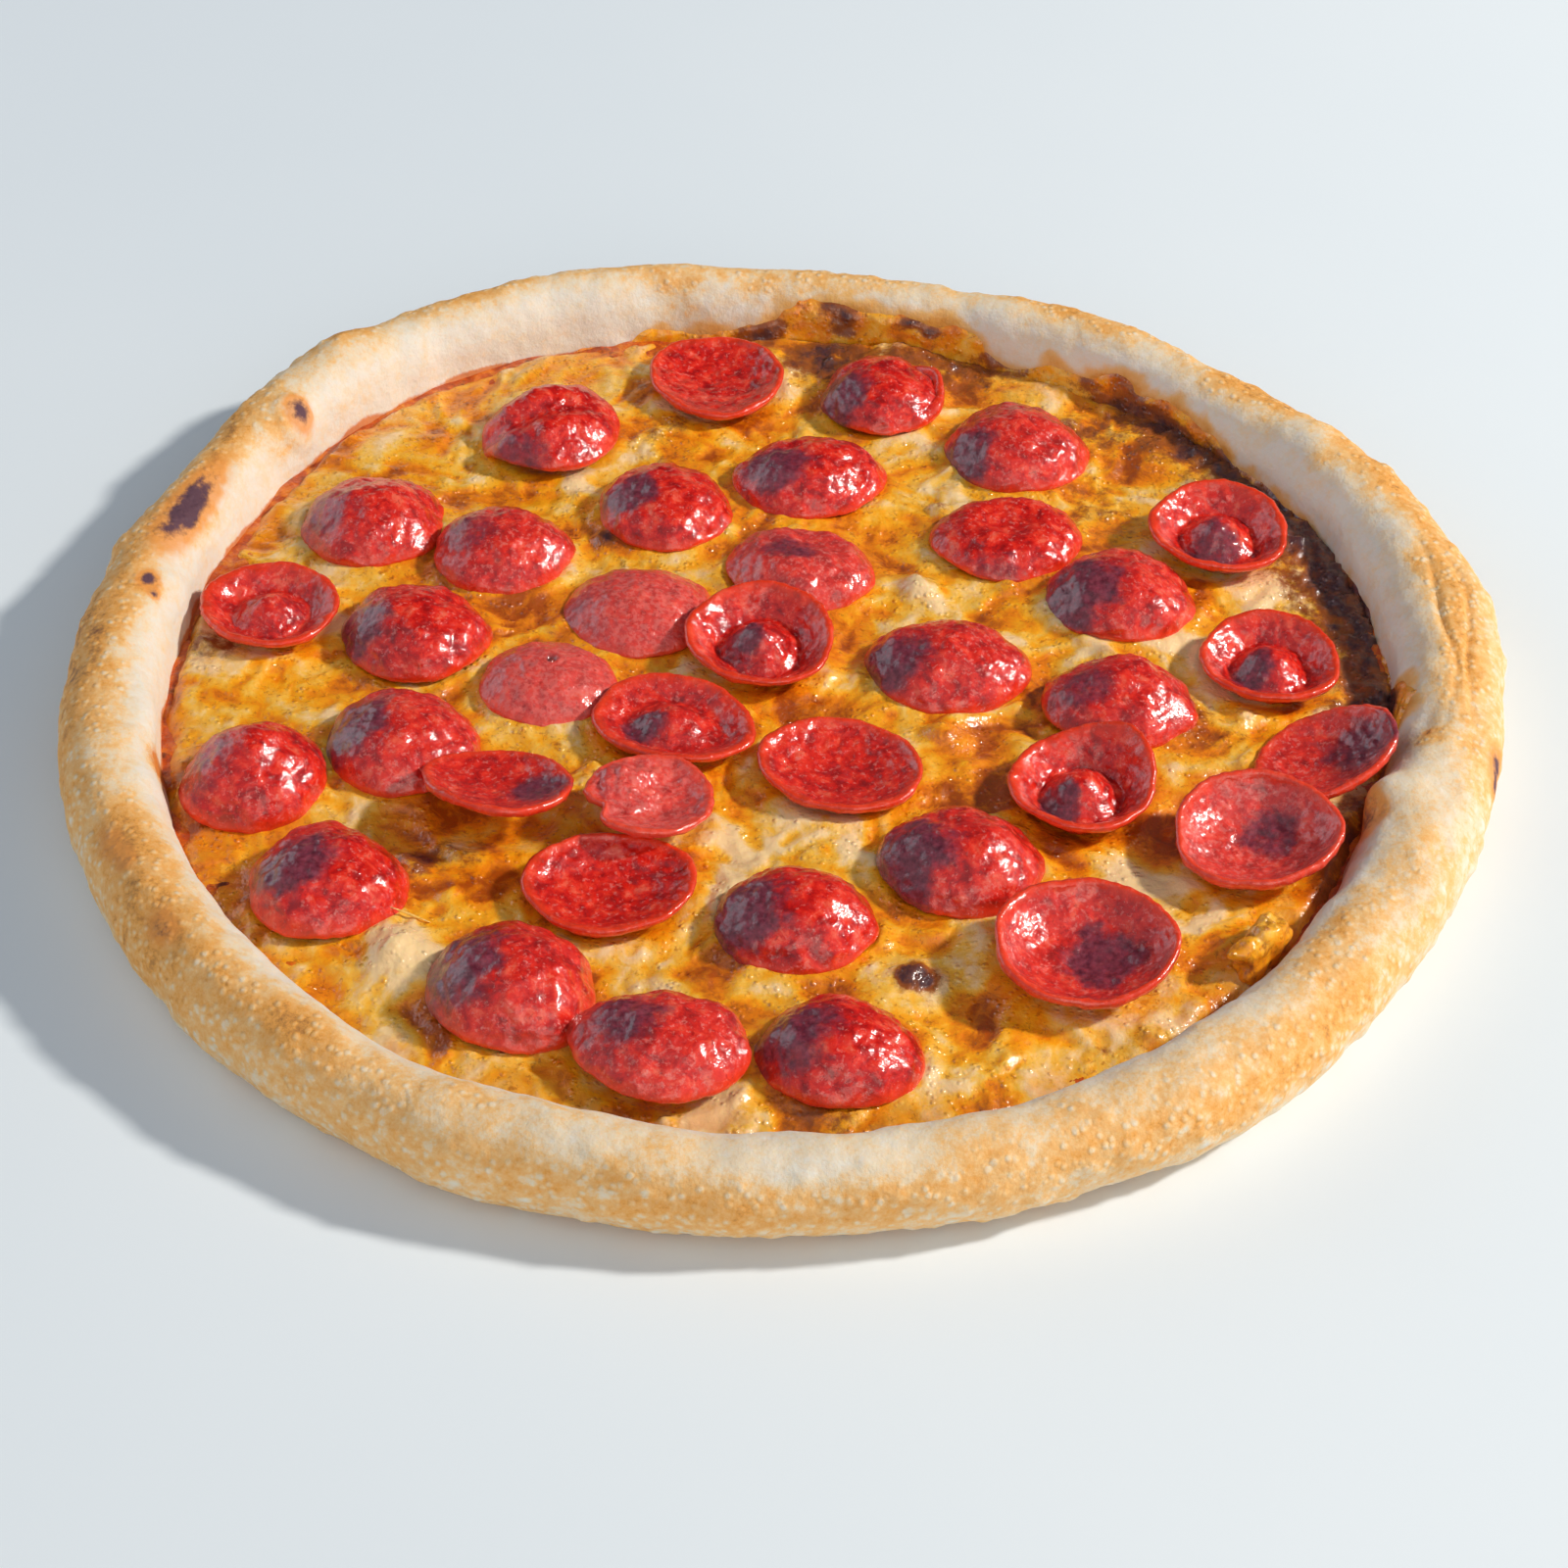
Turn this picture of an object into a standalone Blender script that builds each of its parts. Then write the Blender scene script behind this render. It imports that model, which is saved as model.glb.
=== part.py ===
"""A whole pepperoni pizza, 31 cm across, as it comes out of a hot oven.

The dough is one piece: a thin flat base inside a puffed, uneven rim. A thin layer of tomato
sauce lies on the base, melted cheese lies on the sauce, and 37 slices of pepperoni lie on the
cheese. The heat has curled each slice its own way: most have domed up, some have turned up
into cups, and some have a turned up brim round a domed crown.

Metres, +Z up. The origin is on the flat underside, at the centre of the pizza. The near side
is -Y.
"""

import math

import bpy
import numpy as np
from mathutils import Matrix, Vector
from mathutils.bvhtree import BVHTree

MM = 0.001

# Driving dimensions of the dough
PIZZA_RADIUS = 154.5 * MM
BASE_THICKNESS = 4.5 * MM
RIM_WIDTH = 19.8 * MM
RIM_HEIGHT = 22.3 * MM
WALL_FOOT = 1.6 * MM          # how far the rim's inner foot runs in past its widest point
DOUGH_STEPS = 96              # round the pizza
DOUGH_LEVELS = (-90, -66, -44, -22, 0, 20, 40, 58, 76, 94, 112, 130, 148, 166)  # round the rim

# Layers on the dough
GAP = 0.3 * MM                # left between pieces that touch
SAUCE_THICKNESS = 1.1 * MM
SAUCE_STEPS = 64
CHEESE_TOP = 9.2 * MM         # mean height of the cheese above the underside
CHEESE_STEPS = 80
CHEESE_RINGS = 11

# Pepperoni
SLICE_THICKNESS = 1.8 * MM
SLICE_STEPS = 14
STEEP = math.radians(70)      # how far a well curled slice bends from its middle to its edge
GENTLE = math.radians(48)
CROWN_RISE = 1.5 * MM         # least height of the crown inside a turned up brim
TALL_FLAP = 4.5 * MM          # how far a brim's tallest side stands above the rest of it
FOLD_LIP = 6 * MM             # height of the lip folded up beside a dome
TORN_FLAP = 4.5 * MM          # height of the torn flap on the torn slice
EDGE_WAVE = 0.5 * MM
PHASE_STEP = 2.4              # turns the waves of each slice on from the last one's, in radians
PROBE_STEP = 0.6 * MM         # spacing of the points at which a slice is settled

# Kinds of slice that bend steeply over towards their edge
DOMED = ("dome", "crease", "fold", "dimple", "ring", "peak", "crest", "point")

# The rim's slow swells: waves round it, swell of the outline, of the width and of the height,
# and where the first crest lies
RIM_SWELLS = (
    (1, 0, 1.9 * MM, 0, 329),
    (1, 0, 0, 1.3 * MM, 90),
    (2, 0, 1.9 * MM, 0.4 * MM, 0),
    (3, 2.4 * MM, 0.4 * MM, 0.3 * MM, 12),
    (4, 1.5 * MM, 0.3 * MM, 0.4 * MM, 30),
    (6, 0.8 * MM, 0.3 * MM, 0.4 * MM, 7),
    (9, 0.3 * MM, 0.4 * MM, 0.4 * MM, 21),
    (13, 0.25 * MM, 0.3 * MM, 0.35 * MM, 3),
)

# Bubbles and dents of the rim: degrees round the pizza, degrees round the rim's own section
# (0 outside, 90 on the crest, 180 inside), length round the pizza, breadth, rise
RIM_BUBBLES = (
    (134, 60, 15 * MM, 12 * MM, 1.4 * MM),
    (145, 140, 12 * MM, 9 * MM, 2.2 * MM),
    (167, 60, 15 * MM, 14 * MM, 1.5 * MM),
    (190, 150, 20 * MM, 8 * MM, 1.6 * MM),
    (216, 70, 34 * MM, 16 * MM, 1.4 * MM),
    (238, 50, 22 * MM, 14 * MM, 0.8 * MM),
    (256, 0, 24 * MM, 16 * MM, -1.4 * MM),
    (276, 150, 13 * MM, 12 * MM, -2.4 * MM),
    (300, 60, 26 * MM, 14 * MM, 0.9 * MM),
    (331, 95, 18 * MM, 14 * MM, -1.4 * MM),
    (342, 150, 14 * MM, 13 * MM, 3.4 * MM),
    (352, 120, 12 * MM, 10 * MM, -1.8 * MM),
    (8, 35, 24 * MM, 12 * MM, 1.2 * MM),
    (30, 90, 30 * MM, 14 * MM, 0.8 * MM),
    (60, 10, 22 * MM, 14 * MM, -1.4 * MM),
    (80, 150, 30 * MM, 10 * MM, 1.2 * MM),
    (103, 120, 18 * MM, 12 * MM, -1.2 * MM),
    (116, 10, 30 * MM, 16 * MM, -1.2 * MM),
)

# Lumps of the cheese: x, y, radius and rise, all in millimetres
CHEESE_LUMPS = (
    (-75, -87, 9, 2.6),
    (30, 35, 6, 2.2),
    (34, -16, 6, 2.2),
    (20, -92, 6, 1.4),
    (41, -112, 9, 1.6),
    (90, -78, 8, 3.4),
    (-64, 108, 10, 1.4),
    (-40, 118, 7, 1.0),
    (-49, 66, 8, 1.0),
    (-14, -98, 8, 1.2),
    (-64, -68, 9, 1.6),
    (6, -54, 9, 1.4),
    (82, -20, 8, 1.2),
    (58, 112, 11, 2.2),
    (84, 90, 10, 2.0),
    (110, 58, 9, 1.8),
    (-8, 126, 9, 2.0),
    (26, 126, 11, 2.6),
    (-106, 84, 9, 1.0),
    (-124, -8, 8, 1.0),
)

# The slices, from the far side to the near side: kind, x and y of the middle, width, depth and
# rise, all in millimetres, then the turn about the vertical, the lean, and the direction of
# the low side, in degrees
SLICES = (
    ("bowl", -19.5, 112, 33, 33, 4.5, 0, 0, 0),
    ("crease", -57.5, 89.5, 31, 31, 8.5, 20, 0, 0),
    ("fold", 20.5, 107.5, 27, 29, 9, 15, 0, 0),
    ("dome", 52, 87.5, 33, 31, 9, 0, 0, 0),
    ("dome", 3.5, 73.5, 33, 27, 8, 5, 6, 270),
    ("dome", -29.5, 61.5, 30.5, 29.5, 8, -20, 0, 0),
    ("dome", -95.5, 53.5, 31, 31, 9, -30, 0, 0),
    ("dome", -65.5, 43.5, 29, 30, 8.5, 15, 0, 0),
    ("dimple", 1.5, 39.5, 33, 28, 7.5, -10, 0, 0),
    ("ring", 48.5, 53, 32.5, 29, 7.5, 0, 0, 0),
    ("brim", 96.5, 53.5, 31, 31, 6, 0, 5, 250),
    ("dome", 73, 32, 32.5, 29.5, 9, -12, 0, 0),
    ("brim", -114.5, 18.5, 30, 30, 4.5, 150, 0, 0),
    ("dome", -82, 13, 31.5, 29.5, 9.5, 0, 0, 0),
    ("plate", -33.5, 24, 32.5, 31, 6.5, -25, 0, 0),
    ("pit", -52, -2.5, 28.5, 28.5, 6, 10, 0, 0),
    ("brim", -6.5, 10.5, 32, 32, 6.5, 60, 7, 255),
    ("crest", 34, 6, 33.5, 29, 8.5, -10, 0, 0),
    ("brim", 104, 7.5, 29.5, 30, 5.5, 20, 4, 220),
    ("crest", 70.5, -5.5, 32, 28, 8, -15, 0, 0),
    ("brim", -24.5, -17, 34.5, 28.5, 3.5, -18, 0, 0),
    ("dome", -81, -24, 32.5, 30, 9.5, -15, 0, 0),
    ("peak", -110.5, -36.5, 29.5, 29, 11, 35, 0, 0),
    ("bowl", 11, -29.5, 34.5, 29.5, 4.5, -10, 0, 0),
    ("bowl", 113.5, -26, 33, 27, 5, 20, 22, 170),
    ("flap", 61, -35, 31, 31, 6, 40, 0, 0),
    ("bowl", -59.5, -44, 32, 26, 4, -12, 14, 85),
    ("torn", -28.5, -46, 27.5, 26.5, 3.5, 0, 5, 60),
    ("cup", 96, -50.5, 33, 32, 8.5, 15, 8, 230),
    ("dome", -91.5, -68.5, 32, 30, 10, -20, 0, 0),
    ("bowl", -35, -68, 34.5, 28.5, 4.5, 0, 3, 270),
    ("dome", 35.5, -57, 32, 30, 10, 0, 0, 0),
    ("dome", 2, -75, 31.5, 28, 9.5, -10, 0, 0),
    ("cup", 58.5, -85, 35, 33, 8, 0, 6, 270),
    ("dome", -52.5, -97, 31, 33, 12, 30, 0, 0),
    ("point", -22.5, -114, 32, 27, 8, -10, 0, 0),
    ("dome", 11, -111.5, 30, 28, 9.5, 0, 0, 0),
)

# Slices that lie over a neighbour, so they are settled after all the others
LAID_LAST = (11, 13, 17, 19, 21, 26, 27, 28, 25, 29)

# Rings of points from the middle of a slice to its edge, as parts of its radius
PLAIN_RINGS = (0.4, 0.74, 1.0)
CROWNED_RINGS = (0.26, 0.5, 0.7, 1.0)


def clear_scene():
    """Removes whatever the file opened with."""
    for obj in list(bpy.data.objects):
        bpy.data.objects.remove(obj, do_unlink=True)


def paint(obj, name, colour, roughness):
    """Gives an object its own plain material."""
    material = bpy.data.materials.new(name)
    material.use_nodes = True
    shader = material.node_tree.nodes["Principled BSDF"]
    shader.inputs["Base Color"].default_value = (*colour, 1.0)
    shader.inputs["Roughness"].default_value = roughness
    shader.inputs["Metallic"].default_value = 0.0
    material.diffuse_color = (*colour, 1.0)
    obj.data.materials.append(material)


def add_object(name, points, faces):
    """Makes a smooth shaded mesh object out of points and faces."""
    mesh = bpy.data.meshes.new(name)
    mesh.from_pydata(points.tolist(), [], faces)
    mesh.update()
    obj = bpy.data.objects.new(name, mesh)
    bpy.context.scene.collection.objects.link(obj)
    mesh.shade_smooth()
    return obj


def ring_faces(first, second, steps):
    """The quads between two rings of points, given by their first indices."""
    ahead = [(i + 1) % steps for i in range(steps)]
    return [(first + i, first + ahead[i], second + ahead[i], second + i) for i in range(steps)]


def fan_faces(middle, ring, steps, flipped):
    """The triangles between a middle point and the ring round it."""
    pairs = [(ring + i, ring + (i + 1) % steps) for i in range(steps)]
    return [(middle, b, a) if flipped else (middle, a, b) for a, b in pairs]


def turned_solid(name, rings, bottom, top):
    """A closed solid of rings of points, from the underside round the outside to the top.

    rings has one row for each ring; bottom and top are the points that close it.
    """
    count, steps = rings.shape[:2]
    points = np.concatenate([rings.reshape(-1, 3), [bottom, top]])
    faces = fan_faces(count * steps, 0, steps, True)
    for row in range(count - 1):
        faces += ring_faces(row * steps, (row + 1) * steps, steps)
    faces += fan_faces(count * steps + 1, (count - 1) * steps, steps, False)
    return add_object(name, points, faces)


def angles(steps):
    """Evenly spaced angles once round."""
    return np.arange(steps) * 2 * math.pi / steps


def mound(distance, reach):
    """1 at no distance, falling smoothly to a third at the reach and to nothing far beyond it."""
    return np.exp(-((distance / reach) ** 2))


def away(phi, direction):
    """How far an angle lies from a direction in degrees, the short way round, in radians."""
    return np.angle(np.exp(1j * (phi - math.radians(direction))))


def smooth_step(value):
    """0 below 0 and 1 above 1, with a smooth rise between."""
    value = np.clip(value, 0, 1)
    return value * value * (3 - 2 * value)


def rim_swell(theta, column):
    """Sum of the slow waves round the rim; column picks outline, width or height."""
    total = np.zeros_like(theta)
    for swell in RIM_SWELLS:
        waves, crest = swell[0], swell[4]
        total = total + swell[column] * np.cos(waves * away(theta, crest))
    return total


def rim_outline(theta):
    """The pizza's radius, seen from above."""
    return PIZZA_RADIUS + rim_swell(theta, 1)


def rim_foot(theta):
    """The radius at which the rim's inner wall meets the flat base."""
    return rim_outline(theta) - RIM_WIDTH - rim_swell(theta, 2) - WALL_FOOT


def rim_bubbles(theta, psi):
    """Rise of the rim's bubbles and dents: smooth mounds on its surface."""
    rise = np.zeros(np.broadcast(theta, psi).shape)
    for place, level, length, breadth, height in RIM_BUBBLES:
        round_pizza = away(theta, place) * PIZZA_RADIUS
        round_rim = (psi - math.radians(level)) * RIM_WIDTH / 2
        rise = rise + height * mound(round_pizza, length / 2) * mound(round_rim, breadth / 2)
    return rise


def rim_surface(theta, psi):
    """The rim's skin: an upright oval section, flat where it touches down, carried round the pizza.

    psi runs round the section: -90 degrees underneath, 0 outside, 90 on the crest, 180 inside.
    """
    half_width = (RIM_WIDTH + rim_swell(theta, 2)) / 2
    half_height = (RIM_HEIGHT + rim_swell(theta, 3)) / 2
    lift = rim_bubbles(theta, psi)
    radius = rim_outline(theta) - half_width + (half_width + lift) * np.cos(psi)
    height = half_height + (half_height + lift) * np.sin(psi)
    return radius, height


def rings_of(theta, rows):
    """Rings of points from rows of (radius, height), moved so that the rim's outline is centred."""
    rings = np.array([
        np.stack([radius * np.cos(theta), radius * np.sin(theta), height], axis=-1)
        for radius, height in rows
    ])
    all_round = angles(DOUGH_STEPS)
    widest = np.max([rim_surface(all_round, psi)[0] for psi in np.radians(DOUGH_LEVELS)], axis=0)
    outline = np.stack([widest * np.cos(all_round), widest * np.sin(all_round)], axis=-1)
    rings[..., :2] -= (outline.min(axis=0) + outline.max(axis=0)) / 2
    return rings


def inner_edge(theta):
    """The narrowest radius inside the rim, where its foot or a bubble above it reaches in most."""
    wall = rim_surface(theta[:, None], np.radians((148, 166))[None, :])[0]
    return np.minimum(rim_foot(theta), wall.min(axis=1))


def make_dough():
    """The flat base and the puffed rim, as one solid."""
    theta = angles(DOUGH_STEPS)
    rows = []
    for psi in np.radians(DOUGH_LEVELS):
        rows.append(rim_surface(theta, psi))
    rows[0] = (rows[0][0], np.zeros_like(theta))
    wall_radius, wall_height = rows[-1]
    foot = rim_foot(theta)
    low = (BASE_THICKNESS + wall_height) / 2
    rows.append((foot + (wall_radius - foot) * 0.45, low))
    rows.append((foot, np.full_like(theta, BASE_THICKNESS)))
    dough = turned_solid("dough_crust", rings_of(theta, rows), (0, 0, 0), (0, 0, BASE_THICKNESS))
    paint(dough, "baked_dough", (0.72, 0.47, 0.22), 0.75)
    return dough


def make_sauce():
    """A thin round of sauce on the base, a little wider than the cheese."""
    theta = angles(SAUCE_STEPS)
    radius = inner_edge(theta) - 1.2 * MM
    floor = BASE_THICKNESS + GAP
    top = floor + SAUCE_THICKNESS
    rows = [(radius, np.full_like(theta, floor)), (radius * 0.993, np.full_like(theta, top))]
    sauce = turned_solid("tomato_sauce", rings_of(theta, rows), (0, 0, floor), (0, 0, top))
    paint(sauce, "cooked_tomato_sauce", (0.55, 0.09, 0.02), 0.35)
    return sauce


def cheese_height(x, y):
    """Height of the cheese: slow ripples, with a mound for each lump."""
    x, y = x / MM, y / MM
    ripples = 0.5 * np.sin(x / 11 + y / 19) + 0.4 * np.sin(y / 9 - x / 23 + 1)
    ripples = ripples + 0.3 * np.sin(x / 6 + 2) * np.sin(y / 7)
    for lump_x, lump_y, radius, rise in CHEESE_LUMPS:
        ripples = ripples + rise * np.exp(-((x - lump_x) ** 2 + (y - lump_y) ** 2) / radius**2)
    return CHEESE_TOP + ripples * MM


def cheese_outline(theta):
    """The cheese's uneven edge, which stops short of the rim by a few millimetres."""
    short = 3.0 + 0.9 * np.sin(5 * theta + 1) + 0.6 * np.sin(9 * theta) + 0.4 * np.sin(14 * theta + 2)
    return inner_edge(theta) - short * MM


def make_cheese():
    """The melted cheese: flat below, lumpy above, rounded off at its edge."""
    theta = angles(CHEESE_STEPS)
    edge = cheese_outline(theta)
    floor = BASE_THICKNESS + SAUCE_THICKNESS + 2 * GAP
    low, high = np.full_like(theta, floor), np.full_like(theta, floor + 0.9 * MM)
    rows = [(edge - 0.8 * MM, low), (edge, high)]
    for ring in range(CHEESE_RINGS):
        radius = (edge - 2.0 * MM) * (1 - ring / CHEESE_RINGS) ** 0.85
        height = cheese_height(radius * np.cos(theta), radius * np.sin(theta))
        if ring == 0:
            height = (height + high) / 2
        rows.append((radius, height))
    middle = float(cheese_height(np.array(0.0), np.array(0.0)))
    cheese = turned_solid("melted_cheese", rings_of(theta, rows), (0, 0, floor), (0, 0, middle))
    paint(cheese, "browned_melted_cheese", (0.78, 0.38, 0.06), 0.35)
    return cheese


def slice_outline(kind, phi, phase):
    """A slice's edge as a part of its radius: slow waves, with the corners and tears of its kind."""
    edge = 1 + 0.03 * np.cos(2 * phi + phase) + 0.02 * np.cos(3 * phi + 2 * phase)
    if kind in DOMED:
        edge = edge + 0.07 * mound(away(phi, 0), 0.3) + 0.04 * mound(away(phi, 175), 0.35)
    if kind == "point":
        edge = edge + 0.2 * mound(away(phi, 160), 0.45)
    if kind == "torn":
        edge = edge - 0.3 * mound(away(phi, 205), 0.3)
    return edge


def slice_height(kind, rho, phi, rise):
    """Height of a curled slice's middle surface over its lowest part, for its kind.

    The lengths are parts of the slice's radius, and the heights are parts of its rise.
    """
    bend = STEEP if kind in DOMED + ("cup",) else GENTLE
    cap = (np.cos(rho * bend) - math.cos(bend)) / (1 - math.cos(bend))
    u, v = rho * np.cos(phi), rho * np.sin(phi)
    if kind in ("cup", "bowl"):
        return rise * (1 - cap)
    if kind == "torn":
        return rise * (1 - cap) + TORN_FLAP * mound(np.hypot(u + 0.3, v - 0.25), 0.4)
    if kind in ("brim", "flap"):
        crown = 0.5 + 0.5 * np.cos(math.pi * np.clip(rho / 0.64, 0, 1))
        height = rise * smooth_step((rho - 0.5) / 0.55) + (CROWN_RISE + 0.75 * rise) * crown
        if kind == "flap":
            height = height + TALL_FLAP * smooth_step((rho - 0.55) / 0.45) * mound(away(phi, 0), 0.8)
        return height
    height = rise * cap
    if kind == "fold":
        height = height + FOLD_LIP * smooth_step((rho - 0.72) / 0.28) * mound(v, 0.6) * (u > 0)
    elif kind == "ring":
        height = height - 0.45 * rise * mound(rho, 0.34)
    elif kind == "dimple":
        height = height - 0.35 * rise * mound(np.hypot(u - 0.1, v - 0.25), 0.3)
    elif kind == "crease":
        height = height - 0.4 * rise * mound(v, 0.2) * smooth_step(0.9 - u)
    elif kind == "peak":
        height = height + 0.16 * rise * mound(rho, 0.35)
    elif kind == "crest":
        height = height + 0.12 * rise * mound(v - 0.1, 0.3) * (1 - rho**2)
    return height


def slice_surface(kind, rho, phi, width, depth, rise, phase):
    """The middle surface of a curled slice, about its own centre, before it is turned and leant.

    rho runs from 0 in the middle to 1 at the edge, and phi runs round. A domed slice bends over
    towards its edge, so its rings crowd together there. phase sets where its waves fall.
    """
    bend = STEEP if kind in DOMED + ("cup",) else GENTLE
    spread = rho if kind in ("brim", "flap") else np.sin(rho * bend) / math.sin(bend)
    spread = spread * slice_outline(kind, phi, phase)
    height = slice_height(kind, rho, phi, rise) + EDGE_WAVE * rho**2 * np.cos(2 * phi + 2.3 * phase)
    x = width / 2 * spread * np.cos(phi)
    y = depth / 2 * spread * np.sin(phi)
    return np.stack([x, y, height], axis=-1)


def make_slice(number, row):
    """One slice of pepperoni, still at the height of its own middle surface."""
    kind, x, y, width, depth, rise, turn, lean, toward = row
    phi = angles(SLICE_STEPS)
    rings = CROWNED_RINGS if kind in ("brim", "flap", "fold", "torn", "ring") else PLAIN_RINGS
    size = (width * MM, depth * MM, rise * MM, number * PHASE_STEP)
    points = [slice_surface(kind, np.full_like(phi, rho), phi, *size) for rho in rings]
    middle = slice_surface(kind, np.zeros(1), np.zeros(1), *size)
    points = np.concatenate(points + [middle])
    faces = fan_faces(len(rings) * SLICE_STEPS, 0, SLICE_STEPS, False)
    for ring in range(len(rings) - 1):
        faces += ring_faces((ring + 1) * SLICE_STEPS, ring * SLICE_STEPS, SLICE_STEPS)
    obj = add_object(f"pepperoni_{number:02d}", points, faces)
    wall = obj.modifiers.new("slice_thickness", "SOLIDIFY")
    wall.thickness = SLICE_THICKNESS
    wall.offset = 0.0
    wall.use_even_offset = True
    paint(obj, f"pepperoni_meat_{number:02d}", (0.5, 0.03, 0.02), 0.35)
    low_side = math.radians(toward)
    axis = Vector((-math.sin(low_side), math.cos(low_side), 0))
    leaning = Matrix.Rotation(math.radians(lean), 4, axis)
    turning = Matrix.Rotation(math.radians(turn), 4, "Z")
    obj.matrix_world = Matrix.Translation((x * MM, y * MM, 0)) @ leaning @ turning
    return obj


def solid_tree(obj):
    """A search tree of the object's finished surface, in world space, with its box."""
    bpy.context.view_layer.update()
    evaluated = obj.evaluated_get(bpy.context.evaluated_depsgraph_get())
    mesh = evaluated.to_mesh()
    corners = [evaluated.matrix_world @ vertex.co for vertex in mesh.vertices]
    tree = BVHTree.FromPolygons(corners, [list(face.vertices) for face in mesh.polygons])
    evaluated.to_mesh_clear()
    box = np.array(corners)
    return tree, box.min(axis=0), box.max(axis=0)


def settle(obj, below):
    """Lowers a slice until the least gap to whatever lies below it is GAP.

    Rays up find the slice's underside, rays down find what it would come to rest on.
    """
    tree, low, high = solid_tree(obj)
    near = [other for other, box_low, box_high in below
            if (box_low[:2] < high[:2]).all() and (box_high[:2] > low[:2]).all()]
    needed = -1.0
    for x in np.arange(low[0] - GAP, high[0] + GAP, PROBE_STEP):
        for y in np.arange(low[1] - GAP, high[1] + GAP, PROBE_STEP):
            under = tree.ray_cast(Vector((x, y, -1)), Vector((0, 0, 1)))[0]
            if under is None:
                continue
            for other in near:
                ground = other.ray_cast(Vector((x, y, 1)), Vector((0, 0, -1)))[0]
                if ground is not None:
                    needed = max(needed, ground.z - under.z)
    obj.location.z += needed + GAP
    return solid_tree(obj)


def make_pizza():
    """Builds the layers from the base up, then lays the slices on the cheese."""
    clear_scene()
    dough = make_dough()
    make_sauce()
    cheese = make_cheese()
    below = [solid_tree(dough), solid_tree(cheese)]
    slices = {number: make_slice(number, row) for number, row in enumerate(SLICES, start=1)}
    order = [number for number in slices if number not in LAID_LAST] + list(LAID_LAST)
    for number in order:
        below.append(settle(slices[number], below))


make_pizza()
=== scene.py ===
"""The looks of a whole pepperoni pizza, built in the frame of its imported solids.

Metres, +Z up. The pizza lies on the floor with its near side at -Y. Each section makes one
piece of it, from the dough up, and replaces the plain solid that holds its place.
"""

import math
from math import radians

import bpy
import numpy as np
from mathutils import Matrix, Vector


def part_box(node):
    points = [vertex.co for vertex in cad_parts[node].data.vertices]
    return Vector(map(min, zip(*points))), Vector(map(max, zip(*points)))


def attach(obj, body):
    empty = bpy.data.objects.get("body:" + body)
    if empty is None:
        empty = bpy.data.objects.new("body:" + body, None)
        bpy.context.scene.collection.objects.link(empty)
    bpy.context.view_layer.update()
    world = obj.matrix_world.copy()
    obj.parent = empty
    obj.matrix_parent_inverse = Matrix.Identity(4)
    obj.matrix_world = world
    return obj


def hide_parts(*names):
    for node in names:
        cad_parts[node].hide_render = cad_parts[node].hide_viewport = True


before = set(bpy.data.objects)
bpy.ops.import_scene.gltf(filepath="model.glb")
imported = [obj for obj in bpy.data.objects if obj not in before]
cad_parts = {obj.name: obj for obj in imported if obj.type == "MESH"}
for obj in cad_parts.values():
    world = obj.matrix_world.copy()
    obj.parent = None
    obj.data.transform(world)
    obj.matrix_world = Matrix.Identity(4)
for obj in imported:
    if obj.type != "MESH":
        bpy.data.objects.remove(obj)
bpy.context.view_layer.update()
scene = bpy.context.scene
MM = 0.001

# The view and the light. The camera looks down at the near side from 41 degrees above the
# floor. One small warm lamp stands low on the right, and a pale blue room fills the shadows.
# The floor is a plain pale sheet.
VIEW_DISTANCE = 0.7091
VIEW_ELEVATION = radians(41.07)
VIEW_ROLL = radians(1.349)
VIEW_TARGET = (-0.0008, -0.0206, 0)

view_turn = Matrix.Rotation(math.pi / 2 - VIEW_ELEVATION, 4, "X") @ Matrix.Rotation(VIEW_ROLL, 4, "Z")
camera_data = bpy.data.cameras.new("camera")
camera_data.sensor_width = 36
camera_data.lens = 76.4
camera = bpy.data.objects.new("camera", camera_data)
drawn_back = Matrix.Translation((0, 0, VIEW_DISTANCE))
camera.matrix_world = Matrix.Translation(VIEW_TARGET) @ view_turn @ drawn_back
scene.collection.objects.link(camera)
scene.camera = camera
scene.view_settings.view_transform = "Standard"


def add_lamp(name, azimuth, elevation, distance, size, power, colour):
    """A round lamp that faces the pizza from the given direction, in degrees."""
    data = bpy.data.lights.new(name, "AREA")
    data.shape = "DISK"
    data.size = size
    data.energy = power
    data.color = colour
    lamp = bpy.data.objects.new(name, data)
    around = Matrix.Rotation(radians(azimuth), 4, "Z")
    over = Matrix.Rotation(radians(90 - elevation), 4, "Y")
    lamp.matrix_world = around @ over @ Matrix.Translation((0, 0, distance))
    scene.collection.objects.link(lamp)


add_lamp("window_light", 7, 37, 2.2, 0.20, 45, (1.0, 0.94, 0.86))
add_lamp("room_fill", 150, 20, 1.6, 1.3, 4.8, (0.86, 0.90, 1.0))
add_lamp("front_fill", -80, 25, 1.8, 1.4, 8.0, (1.0, 0.89, 0.76))


def new_material(name, roughness, specular=0.5):
    """A material with its own Principled shader; returns it with its tree and that shader."""
    material = bpy.data.materials.new(name)
    material.use_nodes = True
    tree = material.node_tree
    shader = tree.nodes["Principled BSDF"]
    shader.inputs["Roughness"].default_value = roughness
    shader.inputs["Specular IOR Level"].default_value = specular
    return material, tree, shader


def feed(tree, socket, value):
    """Links a socket to another one, or sets it to a plain value."""
    if isinstance(value, bpy.types.NodeSocket):
        tree.links.new(value, socket)
    elif socket.type == "RGBA":
        socket.default_value = (*value, 1)
    else:
        socket.default_value = value


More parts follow.
